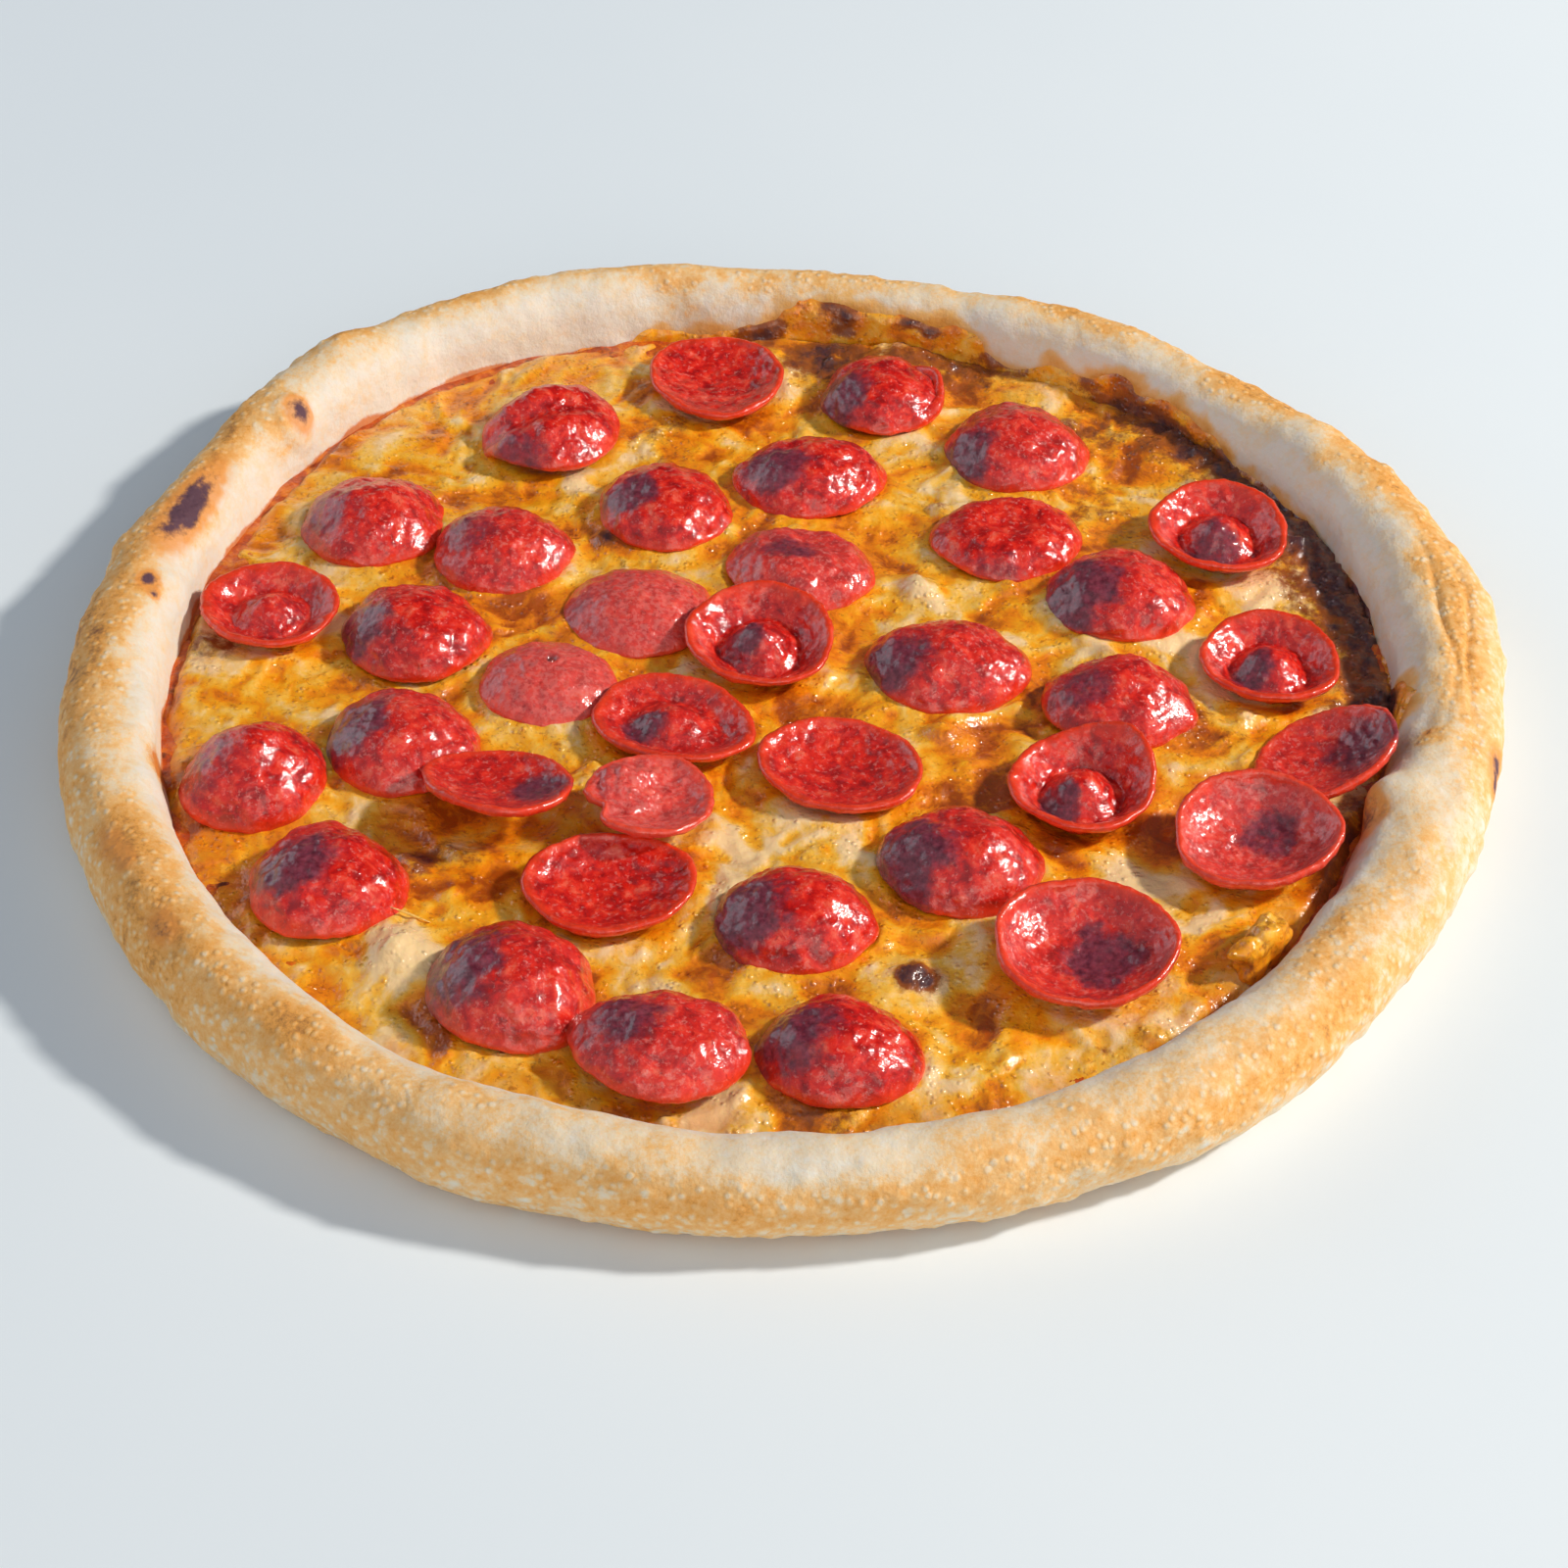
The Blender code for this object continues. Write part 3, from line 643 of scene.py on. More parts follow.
# Where it browned or burned, in the same form
BURNT_PATCHES = (
    (28, 124, 10, 0.5), (10, 127, 8, 0.5), (112, 78, 15, 1), (122, 60, 14, 1.3), (127, 40, 13, 1.3),
    (130, 20, 11, 1.2), (128, -6, 12, 1.3), (92, 98, 12, 0.9), (72, 100, 10, 0.3),
    (104, 88, 9, 0.7), (4, 124, 9, 0.7), (44, 124, 14, 0.5), (26, -89, 3, 1.5), (26, -89, 5.5, 0.4),
    (-75, -60, 4.5, 0.8), (-65, -56, 10, 0.3), (-43, 51, 3, 0.9), (-98, 64, 5, 0.8),
    (120, -42, 11, 0.8), (112, -56, 9, 0.5), (88, -12, 10, 0.35), (-118, 36, 8, 0.4),
    (-126, 8, 7, 0.5), (70, 68, 12, 0.35), (8, -126, 8, 0.5), (-30, 96, 14, 0.25),
)

slice_names = [f"pepperoni_{number:02d}" for number in range(1, 38)]
slice_boxes = np.array([[list(corner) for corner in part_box(name)] for name in slice_names])


def patches(x, y, rows):
    """Sum of round mounds at places given in millimetres."""
    total = np.zeros_like(x)
    for place_x, place_y, radius, height in rows:
        total += height * mound(np.hypot(x / MM - place_x, y / MM - place_y), radius)
    return total


def cheese_height(x, y):
    """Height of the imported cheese: slow ripples, with a mound for each lump."""
    a, b = x / MM, y / MM
    ripples = 0.5 * np.sin(a / 11 + b / 19) + 0.4 * np.sin(b / 9 - a / 23 + 1)
    ripples += 0.3 * np.sin(a / 6 + 2) * np.sin(b / 7)
    return CHEESE_TOP + (ripples + patches(x, y, CHEESE_LUMPS)) * MM


def near_slices(x, y, profile):
    """The highest value that the profile takes of the distance from any slice's middle.

    The distance is a part of the way from the slice's middle to its edge.
    """
    highest = np.zeros_like(x)
    for low, high in slice_boxes:
        across = (x - (low[0] + high[0]) / 2) / (high[0] - low[0]) * 2
        along = (y - (low[1] + high[1]) / 2) / (high[1] - low[1]) * 2
        highest = np.maximum(highest, profile(np.hypot(across, along)))
    return highest


side = np.linspace(-1, 1, CHEESE_STEPS)
square_x, square_y = np.meshgrid(side, side)
square_reach = np.maximum(np.abs(square_x), np.abs(square_y))
# A point of the square keeps its ring, and is spread evenly along it.
left_or_right = np.abs(square_x) >= np.abs(square_y)
out = np.where(left_or_right, square_x, square_y)
aside = np.where(left_or_right, square_y, square_x)
quarter = aside / np.where(out == 0, 1, out) * math.pi / 4
circle_turn = np.where(left_or_right, quarter, math.pi / 2 - quarter) + np.where(out < 0, math.pi, 0)
edge_spot = on_pizza(circle_turn, PIZZA_RADIUS - 22 * MM, 0.0)
inset = (0.7 + 1.1 * rough_grain(edge_spot, 13, 41, 3)) * MM
edge_radius = wall_radius(circle_turn, 8 * MM) - np.maximum(inset, 0.2 * MM)
snug = mound(away(circle_turn, 48), 1.1) + mound(away(circle_turn, 232), 0.6)
edge_radius += 1.6 * MM * snug
cheese_points = on_pizza(circle_turn, square_reach * edge_radius, 0.0)
cheese_x, cheese_y = cheese_points[..., 0], cheese_points[..., 1]

bare = 1 - near_slices(cheese_x, cheese_y, lambda reach: smooth_step((1.06 - reach) / 0.16))
swelling = near_slices(cheese_x, cheese_y, lambda reach: mound(reach - 0.92, 0.2))
drift_x, drift_y = grain(cheese_points, 15, 51), grain(cheese_points, 15, 52)
drift = np.stack([drift_x, drift_y, 0 * cheese_x], axis=-1)
drawn = cheese_points + drift * 7 * MM
strands = rough_grain(drawn, 13, 55, 4, 0.5)
shreds = 1 - 2 * np.abs(grain(drawn, 6.5, 61))
cream = 0.36 + 0.6 * strands + 0.16 * shreds + 0.25 * grain(cheese_points, 32, 63)
cream += patches(cheese_x, cheese_y, CREAM_PATCHES)
burnt = patches(cheese_x, cheese_y, BURNT_PATCHES)
burnt = burnt * (1 + 0.7 * rough_grain(cheese_points, 6, 67, 3))
burnt += 0.3 * smooth_step((rough_grain(cheese_points, 11, 71, 3) - 0.55) / 0.4)
bubbles = blisters(drawn, 7, 0.35, 75)
small_bubbles = blisters(drawn, 3.6, 0.4, 77)
lifted = 0.5 * strands + 0.3 * shreds + 0.8 * bubbles + 0.35 * small_bubbles
lifted += 0.16 * grain(cheese_points, 2.2, 79)
lifted += 1.3 * np.clip(burnt, 0, 1) * np.abs(rough_grain(cheese_points, 4.5, 81, 3))
lifted += patches(cheese_x, cheese_y, CHEESE_BUMPS)
lifted = 1.4 * lifted * bare - 0.2 * (1 - bare) + 1.3 * swelling
rounded = smooth_step((1 - square_reach) / 0.02)
rounded += (1 - rounded) * snug
cheese_z = cheese_height(cheese_x, cheese_y) + lifted * MM
cheese_points[..., 2] = CHEESE_EDGE + (cheese_z - CHEESE_EDGE) * rounded

# The boundary of the grid, once round, closes the sheet underneath.
index = np.arange(CHEESE_STEPS**2).reshape(CHEESE_STEPS, CHEESE_STEPS)
rim_index = border_of(index)
skirt = cheese_points.reshape(-1, 3)[rim_index].copy()
skirt[:, 2] = CHEESE_UNDERSIDE
skirt_index = CHEESE_STEPS**2 + np.arange(len(rim_index))
skirt_faces = np.stack([rim_index, skirt_index, np.roll(skirt_index, -1), np.roll(rim_index, -1)], axis=-1)
bottom_pole = np.full(len(rim_index), CHEESE_STEPS**2 + len(rim_index))
bottom_faces = np.stack([skirt_index, bottom_pole, np.roll(skirt_index, -1)], axis=-1)
cheese_faces = grid_faces(CHEESE_STEPS, CHEESE_STEPS, False) + skirt_faces.tolist() + bottom_faces.tolist()
filler = np.zeros(len(rim_index) + 1)
cheese_values = {
    "cream": with_ends(cream, filler),
    "burnt": with_ends(burnt, filler),
    "bubble": with_ends(np.maximum(bubbles, small_bubbles), filler),
    "edge": with_ends(smooth_step((square_reach - 0.9) / 0.09), filler),
}

cheese_finish, tree, shader = new_material("browned_cheese", 0.4, 0.3)
fine = plus(tree, noise(tree, 260, 6, 0.66, 0.6), -0.5)
thick = plus(tree, painted(tree, "cream"), times(tree, fine, 0.95))
colour = ramp(tree, thick, (
    (0.0, (0.40, 0.075, 0.002)),
    (0.25, (0.86, 0.24, 0.002)),
    (0.48, (0.98, 0.41, 0.008)),
    (0.66, (0.98, 0.54, 0.07)),
    (0.9, (0.98, 0.68, 0.34)),
))
red_edge = times(tree, painted(tree, "edge"), between(tree, noise(tree, 150, 4), 0.4, 0.6))
colour = tint(tree, colour, red_edge, 0.5, (0.70, 0.20, 0.008))
freckle = between(tree, noise(tree, 620, 6, 0.7, 0.3), 0.55, 0.66)
freckle = times(tree, freckle, between(tree, thick, 0.95, 0.5))
colour = tint(tree, colour, freckle, 0.6, (0.36, 0.09, 0.006))
toasted = between(tree, painted(tree, "bubble"), 0.35, 1.0)
toasted = times(tree, toasted, between(tree, noise(tree, 240, 4), 0.42, 0.6))
colour = tint(tree, colour, toasted, 0.48, (0.42, 0.13, 0.015))
mottle = plus(tree, noise(tree, 330, 6, 0.72), -0.5)
scorch = plus(tree, painted(tree, "burnt"), times(tree, mottle, 1.3))
colour = blend(tree, between(tree, scorch, 0.15, 0.6), colour, (0.30, 0.075, 0.010))
colour = blend(tree, between(tree, scorch, 0.6, 1.15), colour, (0.075, 0.026, 0.030))
let_light_in(shader, 0.15, (1.0, 0.5, 0.15), 0.002)
wet(shader, 1.0, 0.13)
droplets = between(tree, cells(tree, 560), 0.42, 0.0)
droplets = times(tree, droplets, between(tree, noise(tree, 110, 3), 0.42, 0.55))
finish(tree, shader, colour, (
    (noise(tree, 380, 4), 0.0004),
    (noise(tree, 1150, 4), 0.0001),
    (droplets, 0.0003),
))

cheese = add_piece(
    "melted_cheese_sheet",
    np.concatenate([cheese_points.reshape(-1, 3), skirt, [(0, 0, CHEESE_UNDERSIDE)]]),
    cheese_faces,
    cheese_finish,
    cheese_values,
)
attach(cheese, "root")
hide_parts("melted_cheese")

# The cheese that ran up the dough. Along the far side and the right the real cheese climbed the
# rim's inner wall and baked on as a glossy brown crust. It is a thin skin over the wall, which
# dips under the dough wherever there is none.
CLIMB_STEPS = 620
CLIMB_ROWS = 76
CLIMB_FIRST, CLIMB_LAST = -32, 122      # degrees round the pizza

# Where it burned: degrees round the pizza, height, reach along and reach up in mm, how strongly
CLIMB_BURNT = (
    (93, 10, 7, 2.5, 0.9), (91, 12.5, 4, 2, 0.6), (86, 18.5, 3, 1.4, 0.9), (84, 16.5, 4, 2, 0.8),
    (84, 12.5, 3, 2, 0.5), (77, 17, 3.5, 1.8, 0.9), (75, 15.5, 3, 1.5, 0.9), (67, 12, 8, 3, 0.5),
    (57, 13, 3, 1.5, 0.4), (55, 10, 6, 2.5, 0.7), (51, 12.5, 8, 3.6, 0.9), (46, 11, 6, 2.6, 1),
    (40, 11, 6, 2.2, 0.7), (30, 9.8, 16, 3, 1.1), (14, 9.8, 16, 2.8, 1.1), (359, 10, 12, 3, 1),
    (358, 14, 3, 2.2, 0.6), (348, 9.5, 7, 2, 0.5),
)

climb_round = np.radians(np.linspace(CLIMB_FIRST - 16, CLIMB_LAST, CLIMB_STEPS))[None, :]
climb_levels = np.radians(np.linspace(104, WALL_END, CLIMB_ROWS))[:, None]
climb_places = on_pizza(climb_round, *rim_section(climb_round, climb_levels, 0))
climb_top = climbed(climb_round)
climb_ragged = rough_grain(climb_places, 10, 91, 2) * 2.0 * MM
climb_cover = smooth_step((climb_top + climb_ragged - climb_places[..., 2]) / (3.0 * MM) + 0.5)
climb_fine = rim_relief(climb_round, climb_levels)
climb_lumps = 0.35 * rough_grain(climb_places, 4, 95, 3)
climb_lumps += 0.5 * blisters(climb_places, 5, 0.5, 97)
climb_lift = climb_fine + ((0.45 + climb_lumps) * climb_cover - 0.5 * (1 - climb_cover)) * MM
climb_skin = on_pizza(climb_round, *rim_section(climb_round, climb_levels, climb_lift))
climb_back = on_pizza(climb_round, *rim_section(climb_round, climb_levels, climb_fine - 1.6 * MM))


def slab(front, back):
    """Points and faces of a closed slab between two grids of points, front facing out."""
    rows, columns = front.shape[:2]
    count = rows * columns
    sheet = np.array(grid_faces(rows, columns, False))
    border = border_of(np.arange(count).reshape(rows, columns))
    ahead = np.roll(border, -1)
    walls = np.stack([border, border + count, ahead + count, ahead], axis=-1)
    faces = np.concatenate([sheet, sheet[:, ::-1] + count, walls])
    return np.concatenate([front.reshape(-1, 3), back.reshape(-1, 3)]), faces.tolist()


climb_points, climb_faces = slab(climb_skin, climb_back)
climb_burnt = 0.08 + 0.25 * rough_grain(climb_places, 8, 99, 3)
for place, height, along, up, share in CLIMB_BURNT:
    aside = away(climb_round, place) * PIZZA_RADIUS / MM / along
    above = (climb_places[..., 2] / MM - height) / up
    climb_burnt += share * mound(np.hypot(aside, above), 1)
climb_cream = 0.36 + 0.35 * rough_grain(climb_places, 9, 103, 3) + 0 * climb_round
climb_zero = np.zeros(climb_burnt.size)
climb = add_piece("climbed_cheese", climb_points, climb_faces, cheese_finish, {
    "burnt": with_ends(climb_burnt, climb_zero),
    "cream": with_ends(climb_cream, climb_zero),
})
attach(climb, "root")

# Small bits of cheese. A brown flap of it stuck to the dough's wall at the near right, and one
# thin string was drawn out across a slice on the left. The flap is a lumpy ball pressed flat,
# and the string is a thin tube along a sagging line.
FLAP_MIDDLE = (93.5 * MM, -81.5 * MM, 12.5 * MM)
FLAP_REACH = (8 * MM, 3.2 * MM, 6 * MM)
FLAP_TURN = radians(48)
STRING_ENDS = ((-104 * MM, -72 * MM, 13.5 * MM), (-70 * MM, -78 * MM, 11.5 * MM))
STRING_RADIUS = 0.2 * MM

ball_round = angles(96)[None, :]
ball_down = np.linspace(0.04, math.pi - 0.04, 60)[:, None]
ball = np.stack(np.broadcast_arrays(
    np.cos(ball_round) * np.sin(ball_down),
    np.sin(ball_round) * np.sin(ball_down),
    np.cos(ball_down) + 0 * ball_round,
), axis=-1)
ball = np.sign(ball) * np.abs(ball) ** 0.7 * np.array(FLAP_REACH)
ball_size = 1 + 0.3 * rough_grain(ball, 6, 131, 2)
ball_size += 0.1 * blisters(ball, 3, 0.6, 133)
ball = ball * ball_size[..., None]
flap_turned = np.array(Matrix.Rotation(FLAP_TURN, 3, "Z"))
ball = ball @ flap_turned.T + np.array(FLAP_MIDDLE)
flap_points = np.concatenate([ball.reshape(-1, 3), ball[:1].mean(axis=1), ball[-1:].mean(axis=1)])
flap_high = (flap_points[:, 2] - FLAP_MIDDLE[2]) / FLAP_REACH[2]
flap_faces = [face[::-1] for face in closed_faces(60, 96)]
flap = add_piece("stuck_cheese_flap", flap_points, flap_faces, cheese_finish, {
    "burnt": np.clip(0.2 + 0.3 * rough_grain(flap_points, 3, 135, 3), 0, 1),
    "cream": np.clip(0.42 + 0.1 * flap_high, 0, 1),
})
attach(flap, "root")

string_along = np.linspace(0, 1, 80)[:, None]
start, end = np.array(STRING_ENDS[0]), np.array(STRING_ENDS[1])
string_line = start + (end - start) * string_along
string_line[:, 2] += 3.2 * MM * np.sin(string_along[:, 0] * math.pi)
string_round = angles(8)[None, :, None]
string_size = STRING_RADIUS * (1 + 0.4 * np.sin(string_along * 23))[:, None, :]
string_skin = string_line[:, None, :] + string_size * (
    np.cos(string_round) * np.array([0, 1, 0]) + np.sin(string_round) * np.array([0, 0, 1])
)
string_points = np.concatenate([string_skin.reshape(-1, 3), string_line[:1], string_line[-1:]])
string_values = {"cream": np.full(len(string_points), 0.75)}
string_faces = closed_faces(80, 8)
string = add_piece("drawn_cheese_string", string_points, string_faces, cheese_finish, string_values)
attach(string, "root")

# The pepperoni. Real thin slices of cured sausage curl in the oven: they are red meat with
# small pale grains of fat, wet with their own oil. Each is a thin round bent over its kind's
# surface, with a rounded edge and a lumpy skin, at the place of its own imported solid.
SLICE_THICKNESS = 1.8 * MM
SLICE_STEPS = 156
SLICE_TOP_ROWS = 56
SLICE_UNDER_ROWS = 14
STEEP = radians(70)      # how far a well curled slice bends from its middle to its edge
GENTLE = radians(48)
CROWN_RISE = 1.5 * MM
TALL_FLAP = 4.5 * MM
FOLD_LIP = 6 * MM
TORN_FLAP = 4.5 * MM
EDGE_WAVE = 0.5 * MM
PHASE_STEP = 2.4              # turns the waves of each slice on from the last one's, in radians
SLICE_SINK = 0.5 * MM         # how far a slice has sunk into the soft cheese
DOMED = ("dome", "crease", "fold", "dimple", "ring", "peak", "crest", "point")

# The slices, from the far side to the near side. First the kind. Then x and y of the middle,
# width, depth and rise, in millimetres. Then the turn about the vertical, the lean, and the
# direction of the low side, in degrees. Last the looks: how far the dark patch lies across and
# along and how far it reaches, as parts of the slice's radius, how dark it is, and how pale and
# dry the slice is. The dark patch is partly sear and partly painted shade: on the side of a dome
# away from the lamp, and inside cups, bowls and brims where their own rims or the dough's rim
# cast shadow.
SLICES = (
    ("bowl", (-19.5, 112, 33, 33, 4.5), (0, 0, 0), (0.15, 0, 0.35, 0.2, 0)),
    ("crease", (-57.5, 89.5, 31, 31, 8.5), (20, 0, 0), (-0.5, -0.95, 0.48, 0.7, 0)),
    ("fold", (20.5, 107.5, 27, 29, 9), (15, 0, 0), (-0.75, -0.35, 0.52, 0.9, 0)),
    ("dome", (52, 87.5, 33, 31, 9), (0, 0, 0), (-0.8, -0.45, 0.48, 0.9, 0.2)),
    ("dome", (3.5, 73.5, 33, 27, 8), (5, 6, 270), (-0.45, -0.25, 0.46, 0.95, 0)),
    ("dome", (-29.5, 61.5, 30.5, 29.5, 8), (-20, 0, 0), (-0.5, -0.1, 0.41, 0.95, 0)),
    ("dome", (-95.5, 53.5, 31, 31, 9), (-30, 0, 0), (-0.7, -0.05, 0.53, 0.6, 0.1)),
    ("dome", (-65.5, 43.5, 29, 30, 8.5), (15, 0, 0), (-0.5, -0.05, 0.44, 0.6, 0.2)),
    ("dimple", (1.5, 39.5, 33, 28, 7.5), (-10, 0, 0), (-0.1, 0, 0.34, 0.8, 0.5)),
    ("ring", (48.5, 53, 32.5, 29, 7.5), (0, 0, 0), (-0.2, -1.1, 0.46, 0.45, 0)),
    ("brim", (96.5, 53.5, 31, 31, 6), (0, 5, 250), (-0.07, -0.35, 0.44, 0.75, 0)),
    ("dome", (73, 32, 32.5, 29.5, 9), (-12, 0, 0), (-0.6, -0.25, 0.6, 1, 0.1)),
    ("brim", (-114.5, 18.5, 30, 30, 4.5), (150, 0, 0), (0.35, 0, 0.3, 0.4, 0.1)),
    ("dome", (-82, 13, 31.5, 29.5, 9.5), (0, 0, 0), (-0.8, -0.2, 0.48, 0.85, 0)),
    ("plate", (-33.5, 24, 32.5, 31, 6.5), (-25, 0, 0), (-0.9, -0.1, 0.3, 0.5, 0.85)),
    ("pit", (-52, -2.5, 28.5, 28.5, 6), (10, 0, 0), (0, 0, 0.05, 0, 1)),
    ("brim", (-6.5, 10.5, 32, 32, 6.5), (60, 7, 255), (-0.24, -0.1, 0.28, 0.95, 0)),
    ("crest", (34, 6, 33.5, 29, 8.5), (-10, 0, 0), (-0.75, -0.2, 0.48, 0.95, 0.15)),
    ("brim", (104, 7.5, 29.5, 30, 5.5), (20, 4, 220), (-0.27, -0.2, 0.32, 0.9, 0)),
    ("crest", (70.5, -5.5, 32, 28, 8), (-15, 0, 0), (-0.5, -0.15, 0.39, 0.75, 0.1)),
    ("brim", (-24.5, -17, 34.5, 28.5, 3.5), (-18, 0, 0), (-0.37, -0.15, 0.28, 0.95, 0.1)),
    ("dome", (-81, -24, 32.5, 30, 9.5), (-15, 0, 0), (-0.7, -0.05, 0.53, 0.95, 0.15)),
    ("peak", (-110.5, -36.5, 29.5, 29, 11), (35, 0, 0), (-0.5, -0.25, 0.46, 0.4, 0)),
    ("bowl", (11, -29.5, 34.5, 29.5, 4.5), (-10, 0, 0), (0, 0.1, 0.25, 0.3, 0.1)),
    ("bowl", (113.5, -26, 33, 27, 5), (20, 22, 170), (0.45, 0.1, 0.5, 0.8, 0.3)),
    ("flap", (61, -35, 31, 31, 6), (40, 0, 0), (-0.32, -0.25, 0.29, 0.9, 0)),
    ("bowl", (-59.5, -44, 32, 26, 4), (-12, 14, 85), (0.55, 0, 0.36, 0.95, 0.1)),
    ("torn", (-28.5, -46, 27.5, 26.5, 3.5), (0, 5, 60), (0, 0, 0.05, 0, 0.9)),
    ("cup", (96, -50.5, 33, 32, 8.5), (15, 8, 230), (0.15, 0.2, 0.36, 0.8, 0.6)),
    ("dome", (-91.5, -68.5, 32, 30, 10), (-20, 0, 0), (-0.35, -0.1, 0.53, 0.95, 0)),
    ("bowl", (-35, -68, 34.5, 28.5, 4.5), (0, 3, 270), (0.6, 0, 0.3, 0.35, 0.05)),
    ("dome", (35.5, -57, 32, 30, 10), (0, 0, 0), (-0.7, -0.25, 0.63, 1, 0.1)),
    ("dome", (2, -75, 31.5, 28, 9.5), (-10, 0, 0), (-0.65, -0.2, 0.6, 1, 0)),
    ("cup", (58.5, -85, 35, 33, 8), (0, 6, 270), (0.24, 0.02, 0.44, 0.95, 0.25)),
    ("dome", (-52.5, -97, 31, 33, 12), (30, 0, 0), (-0.6, 0, 0.57, 0.9, 0.1)),
    ("point", (-22.5, -114, 32, 27, 8), (-10, 0, 0), (-0.45, 0.15, 0.48, 0.85, 0.2)),
    ("dome", (11, -111.5, 30, 28, 9.5), (0, 0, 0), (-0.55, 0, 0.57, 0.95, 0)),
)


def slice_outline(kind, phi, phase):
    """A slice's edge as a part of its radius: slow waves, with the corners and tears of its kind."""
    edge = 1 + 0.03 * np.cos(2 * phi + phase) + 0.02 * np.cos(3 * phi + 2 * phase)
    edge += 0.012 * np.cos(5 * phi + 3 * phase) + 0.008 * np.cos(9 * phi + 5 * phase)
    if kind in DOMED:
        edge += 0.05 * mound(away(phi, 0), 0.3) + 0.03 * mound(away(phi, 175), 0.35)
    if kind == "point":
        edge += 0.2 * mound(away(phi, 160), 0.45)
    if kind == "torn":
        edge = edge - 0.3 * mound(away(phi, 205), 0.3)
    return edge


def slice_height(kind, rho, phi, rise):
    """Height of a curled slice's middle surface over its lowest part, for its kind.

    The lengths are parts of the slice's radius, and the heights are parts of its rise.
    """
    bend = STEEP if kind in DOMED + ("cup",) else GENTLE
    cap = (np.cos(rho * bend) - math.cos(bend)) / (1 - math.cos(bend))
    u, v = rho * np.cos(phi), rho * np.sin(phi)
    if kind in ("cup", "bowl"):
        return rise * (1 - cap)
    if kind == "torn":
        return rise * (1 - cap) + TORN_FLAP * mound(np.hypot(u + 0.3, v - 0.25), 0.4)
    if kind in ("brim", "flap"):
        crown = 0.5 + 0.5 * np.cos(math.pi * np.clip(rho / 0.64, 0, 1))
        height = rise * smooth_step((rho - 0.5) / 0.55) + (CROWN_RISE + 0.75 * rise) * crown
        if kind == "flap":
            height = height + TALL_FLAP * smooth_step((rho - 0.55) / 0.45) * mound(away(phi, 0), 0.8)
        return height
    height = rise * cap
    if kind == "fold":
        height = height + FOLD_LIP * smooth_step((rho - 0.72) / 0.28) * mound(v, 0.6) * (u > 0)
    elif kind == "ring":
        height = height - 0.45 * rise * mound(rho, 0.34)
    elif kind == "dimple":
        height = height - 0.35 * rise * mound(np.hypot(u - 0.1, v - 0.25), 0.3)
    elif kind == "crease":
        height = height - 0.4 * rise * mound(v, 0.2) * smooth_step(0.9 - u)
    elif kind == "peak":
        height = height + 0.16 * rise * mound(rho, 0.35)
    elif kind == "crest":
        height = height + 0.12 * rise * mound(v - 0.1, 0.3) * (1 - rho**2)
    return height


def slice_surface(kind, rho, phi, width, depth, rise, phase):
    """The middle surface of a curled slice, about its own centre, before it is turned and leant.

    rho runs from 0 in the middle to 1 at the edge, and phi runs round. A domed slice bends over
    towards its edge, so its rings crowd together there. phase sets where its waves fall.
    """
    bend = STEEP if kind in DOMED + ("cup",) else GENTLE
    spread = rho if kind in ("brim", "flap") else np.sin(rho * bend) / math.sin(bend)
    spread = spread * slice_outline(kind, phi, phase)
    height = slice_height(kind, rho, phi, rise) + EDGE_WAVE * rho**2 * np.cos(2 * phi + 2.3 * phase)
    x = width / 2 * spread * np.cos(phi)
    y = depth / 2 * spread * np.sin(phi)
    return np.stack([x, y, height], axis=-1)


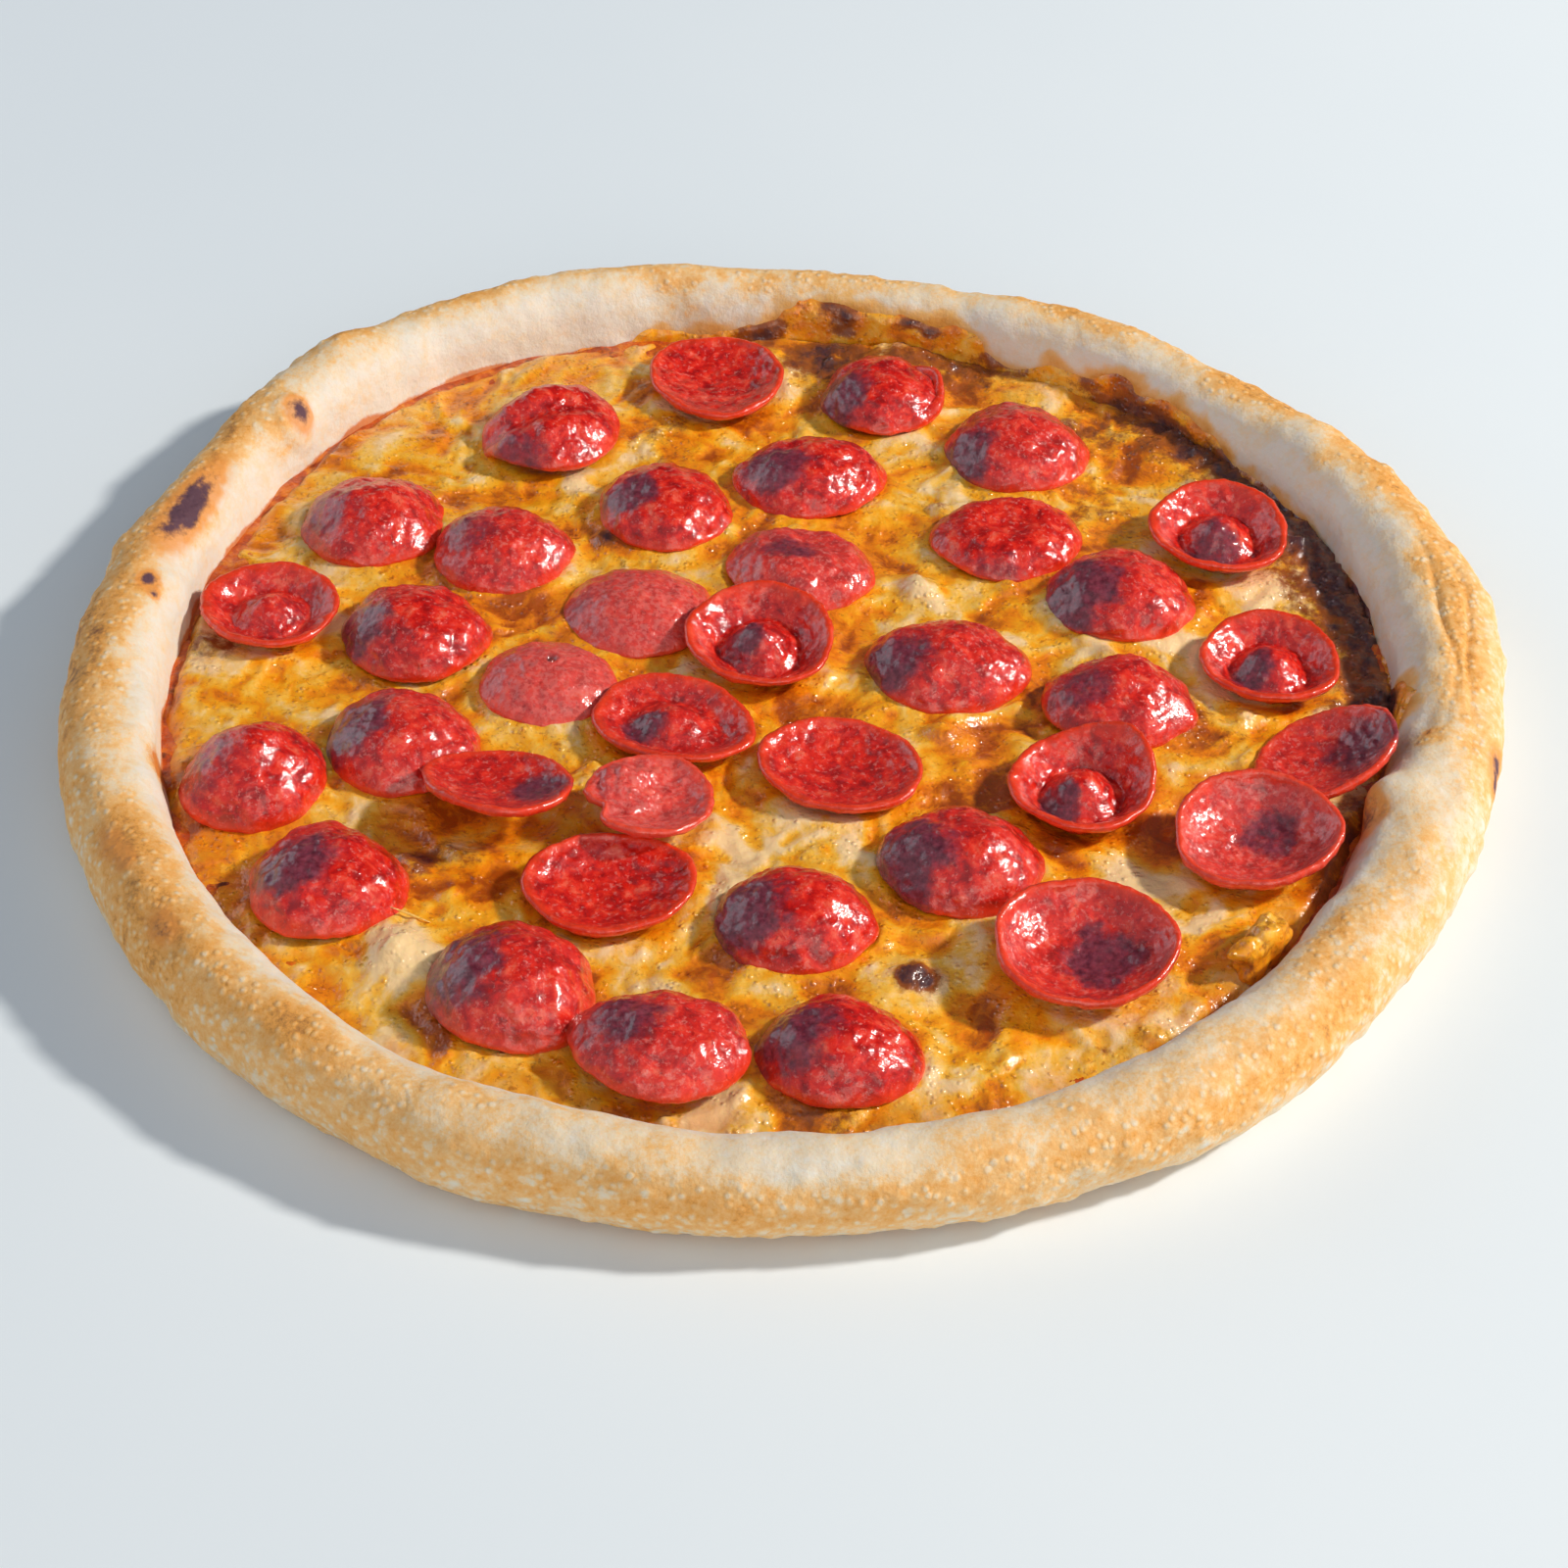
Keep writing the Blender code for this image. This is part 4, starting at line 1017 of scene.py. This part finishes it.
def slice_mesh(number, row):
    """Points and values of one slice: rings from the middle of its top, over the edge, to the
    middle of its underside. Half the thickness is laid off along the normal of the middle
    surface, and falls to nothing at the edge along a quarter circle."""
    kind, (x, y, width, depth, rise), (turn, lean, toward), looks = row
    sear_and_shade_x, sear_and_shade_y, sear_and_shade_reach, sear_and_shade_darkness, paleness = looks
    size = (width * MM, depth * MM, rise * MM, number * PHASE_STEP)
    phi = angles(SLICE_STEPS)[None, :]
    top_rho = np.linspace(0.02, 1, SLICE_TOP_ROWS)
    under_rho = np.linspace(1, 0.04, SLICE_UNDER_ROWS + 1)[1:]
    rho = np.concatenate([top_rho, under_rho])[:, None]
    side = np.concatenate([np.ones(SLICE_TOP_ROWS), -np.ones(SLICE_UNDER_ROWS)])[:, None]
    middle = slice_surface(kind, rho, phi, *size)
    step = 0.01
    outward = slice_surface(kind, rho + step, phi, *size) - slice_surface(kind, rho - step, phi, *size)
    onward = slice_surface(kind, rho, phi + step, *size) - slice_surface(kind, rho, phi - step, *size)
    normal = np.cross(outward, onward)
    normal /= np.linalg.norm(normal, axis=-1, keepdims=True)
    spot = middle + np.array([number * 0.05, number * 0.03, 0])
    lumps = layered(spot, ((0.3, 4.5, 111), (0.27, 2.4, 113), (0.1, 1.3, 115)))
    lumps += 0.25 * blisters(spot, 2.2, 0.5, 117)
    stretched = spot * np.array([1, 0.35, 1])
    if kind in DOMED:
        lumps += 0.25 * grain(stretched, 3.2, 119) * smooth_step(rho * 2)
        lumps += 0.8 * grain(spot, 9, 123)
    half = SLICE_THICKNESS / 2 * np.sqrt(1 - np.clip((rho - 0.93) / 0.07, 0, 1) ** 2)
    ragged = 0.25 * MM * grain(spot, 1.6, 121) * smooth_step((rho - 0.8) / 0.2)
    flat_out = outward / np.linalg.norm(outward, axis=-1, keepdims=True)
    bumps = lumps * MM * smooth_step((1 - rho) * 8 + 0.15)
    half_size = np.array([width, depth]) / 2 * MM
    if kind == "torn":
        fold = np.linalg.norm(middle[..., :2] / half_size + (0.3, -0.25), axis=-1)
        bumps = bumps * (1 + 2 * mound(fold, 0.45))
    # A small hole in the pit slice: a dip in the surface, painted near black as painted shade inside it.
    hole = (kind == "pit") * mound(np.linalg.norm(middle[..., :2] / MM - (0.9, 2), axis=-1), 1.1)
    bumps = bumps - 1.3 * MM * hole
    points = middle + normal * ((half + bumps) * side)[..., None] + flat_out * ragged[..., None]
    poles = np.stack([points[0].mean(axis=0), points[-1].mean(axis=0)])
    points = np.concatenate([points.reshape(-1, 3), poles])
    low_side = radians(toward)
    hinge = Vector((-math.sin(low_side), math.cos(low_side), 0))
    leaning = Matrix.Rotation(radians(lean), 3, hinge)
    turning = np.array(leaning @ Matrix.Rotation(radians(turn), 3, "Z"))
    points = points @ turning.T
    # The dark patch: partly sear, partly painted shade on the side away from the lamp or in a shaded
    # hollow.
    from_sear_and_shade = np.linalg.norm(points[:, :2] / half_size - (sear_and_shade_x, sear_and_shade_y), axis=-1)
    patchy = 0.3 * rough_grain(points + number * 0.05, 5, 125, 3)
    seared = smooth_step((1.45 - from_sear_and_shade / sear_and_shade_reach + patchy) / 0.9)
    points = points + np.array([x * MM, y * MM, 0])
    low = slice_boxes[number - 1, 0, 2]
    points[:, 2] += low - SLICE_SINK - points[:, 2].min()
    thin = np.broadcast_to(smooth_step((rho - 0.78) / 0.2), bumps.shape)
    return points, {
        "thin_edge": with_ends(thin),
        "hole": with_ends(hole),
        "seared": sear_and_shade_darkness * seared,
        "paleness": np.full(len(points), paleness),
    }


pepperoni_finish, tree, shader = new_material("curled_pepperoni", 0.36, 0.22)
meat = noise(tree, 260, 6, 0.66, 0.4)
colour = ramp(tree, meat, (
    (0.36, (0.33, 0.002, 0.002)),
    (0.47, (0.62, 0.007, 0.003)),
    (0.57, (0.80, 0.028, 0.010)),
    (0.68, (0.88, 0.13, 0.07)),
))
fatty = times(tree, painted(tree, "paleness"), 0.11)
fat = between(tree, plus(tree, noise(tree, 900, 4, 0.62), fatty), 0.56, 0.66)
colour = tint(tree, colour, fat, 0.45, (0.84, 0.26, 0.22))
colour = tint(tree, colour, painted(tree, "paleness"), 0.45, (0.80, 0.13, 0.11))
dark = between(tree, noise(tree, 560, 5, 0.65), 0.57, 0.68)
colour = tint(tree, colour, dark, 0.55, (0.30, 0.002, 0.003))
colour = tint(tree, colour, painted(tree, "thin_edge"), 0.6, (0.88, 0.060, 0.010))
# Dark purple of sear and of painted shade, laid on where the seared value is high.
scorch_and_shade_colour = ramp(tree, noise(tree, 700, 4, 0.6), (
    (0.35, (0.07, 0.011, 0.026)),
    (0.65, (0.23, 0.045, 0.075)),
))
sear_and_shade_grain = plus(tree, noise(tree, 480, 6, 0.75), -0.5)
sear_and_shade_grain = plus(tree, painted(tree, "seared"), times(tree, sear_and_shade_grain, 1.1))
colour = tint(tree, colour, between(tree, sear_and_shade_grain, 0.12, 0.95), 0.92, scorch_and_shade_colour)
# Painted shade in the pit slice's hole.
colour = blend(tree, painted(tree, "hole"), colour, (0.02, 0.006, 0.008))
let_light_in(shader, 0.15, (1.0, 0.1, 0.05), 0.0015)
wet(shader, 1.0, 0.13)
finish(tree, shader, colour, (
    (noise(tree, 850, 3, 0.6), 0.00017),
    (noise(tree, 2400, 2), 0.00003),
))

slice_rows = SLICE_TOP_ROWS + SLICE_UNDER_ROWS
slice_faces = [face[::-1] for face in closed_faces(slice_rows, SLICE_STEPS)]
for number, row in enumerate(SLICES, start=1):
    points, values = slice_mesh(number, row)
    piece = add_piece(f"pepperoni_slice_{number:02d}", points, slice_faces, pepperoni_finish, values)
    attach(piece, "root")
    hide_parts(f"pepperoni_{number:02d}")
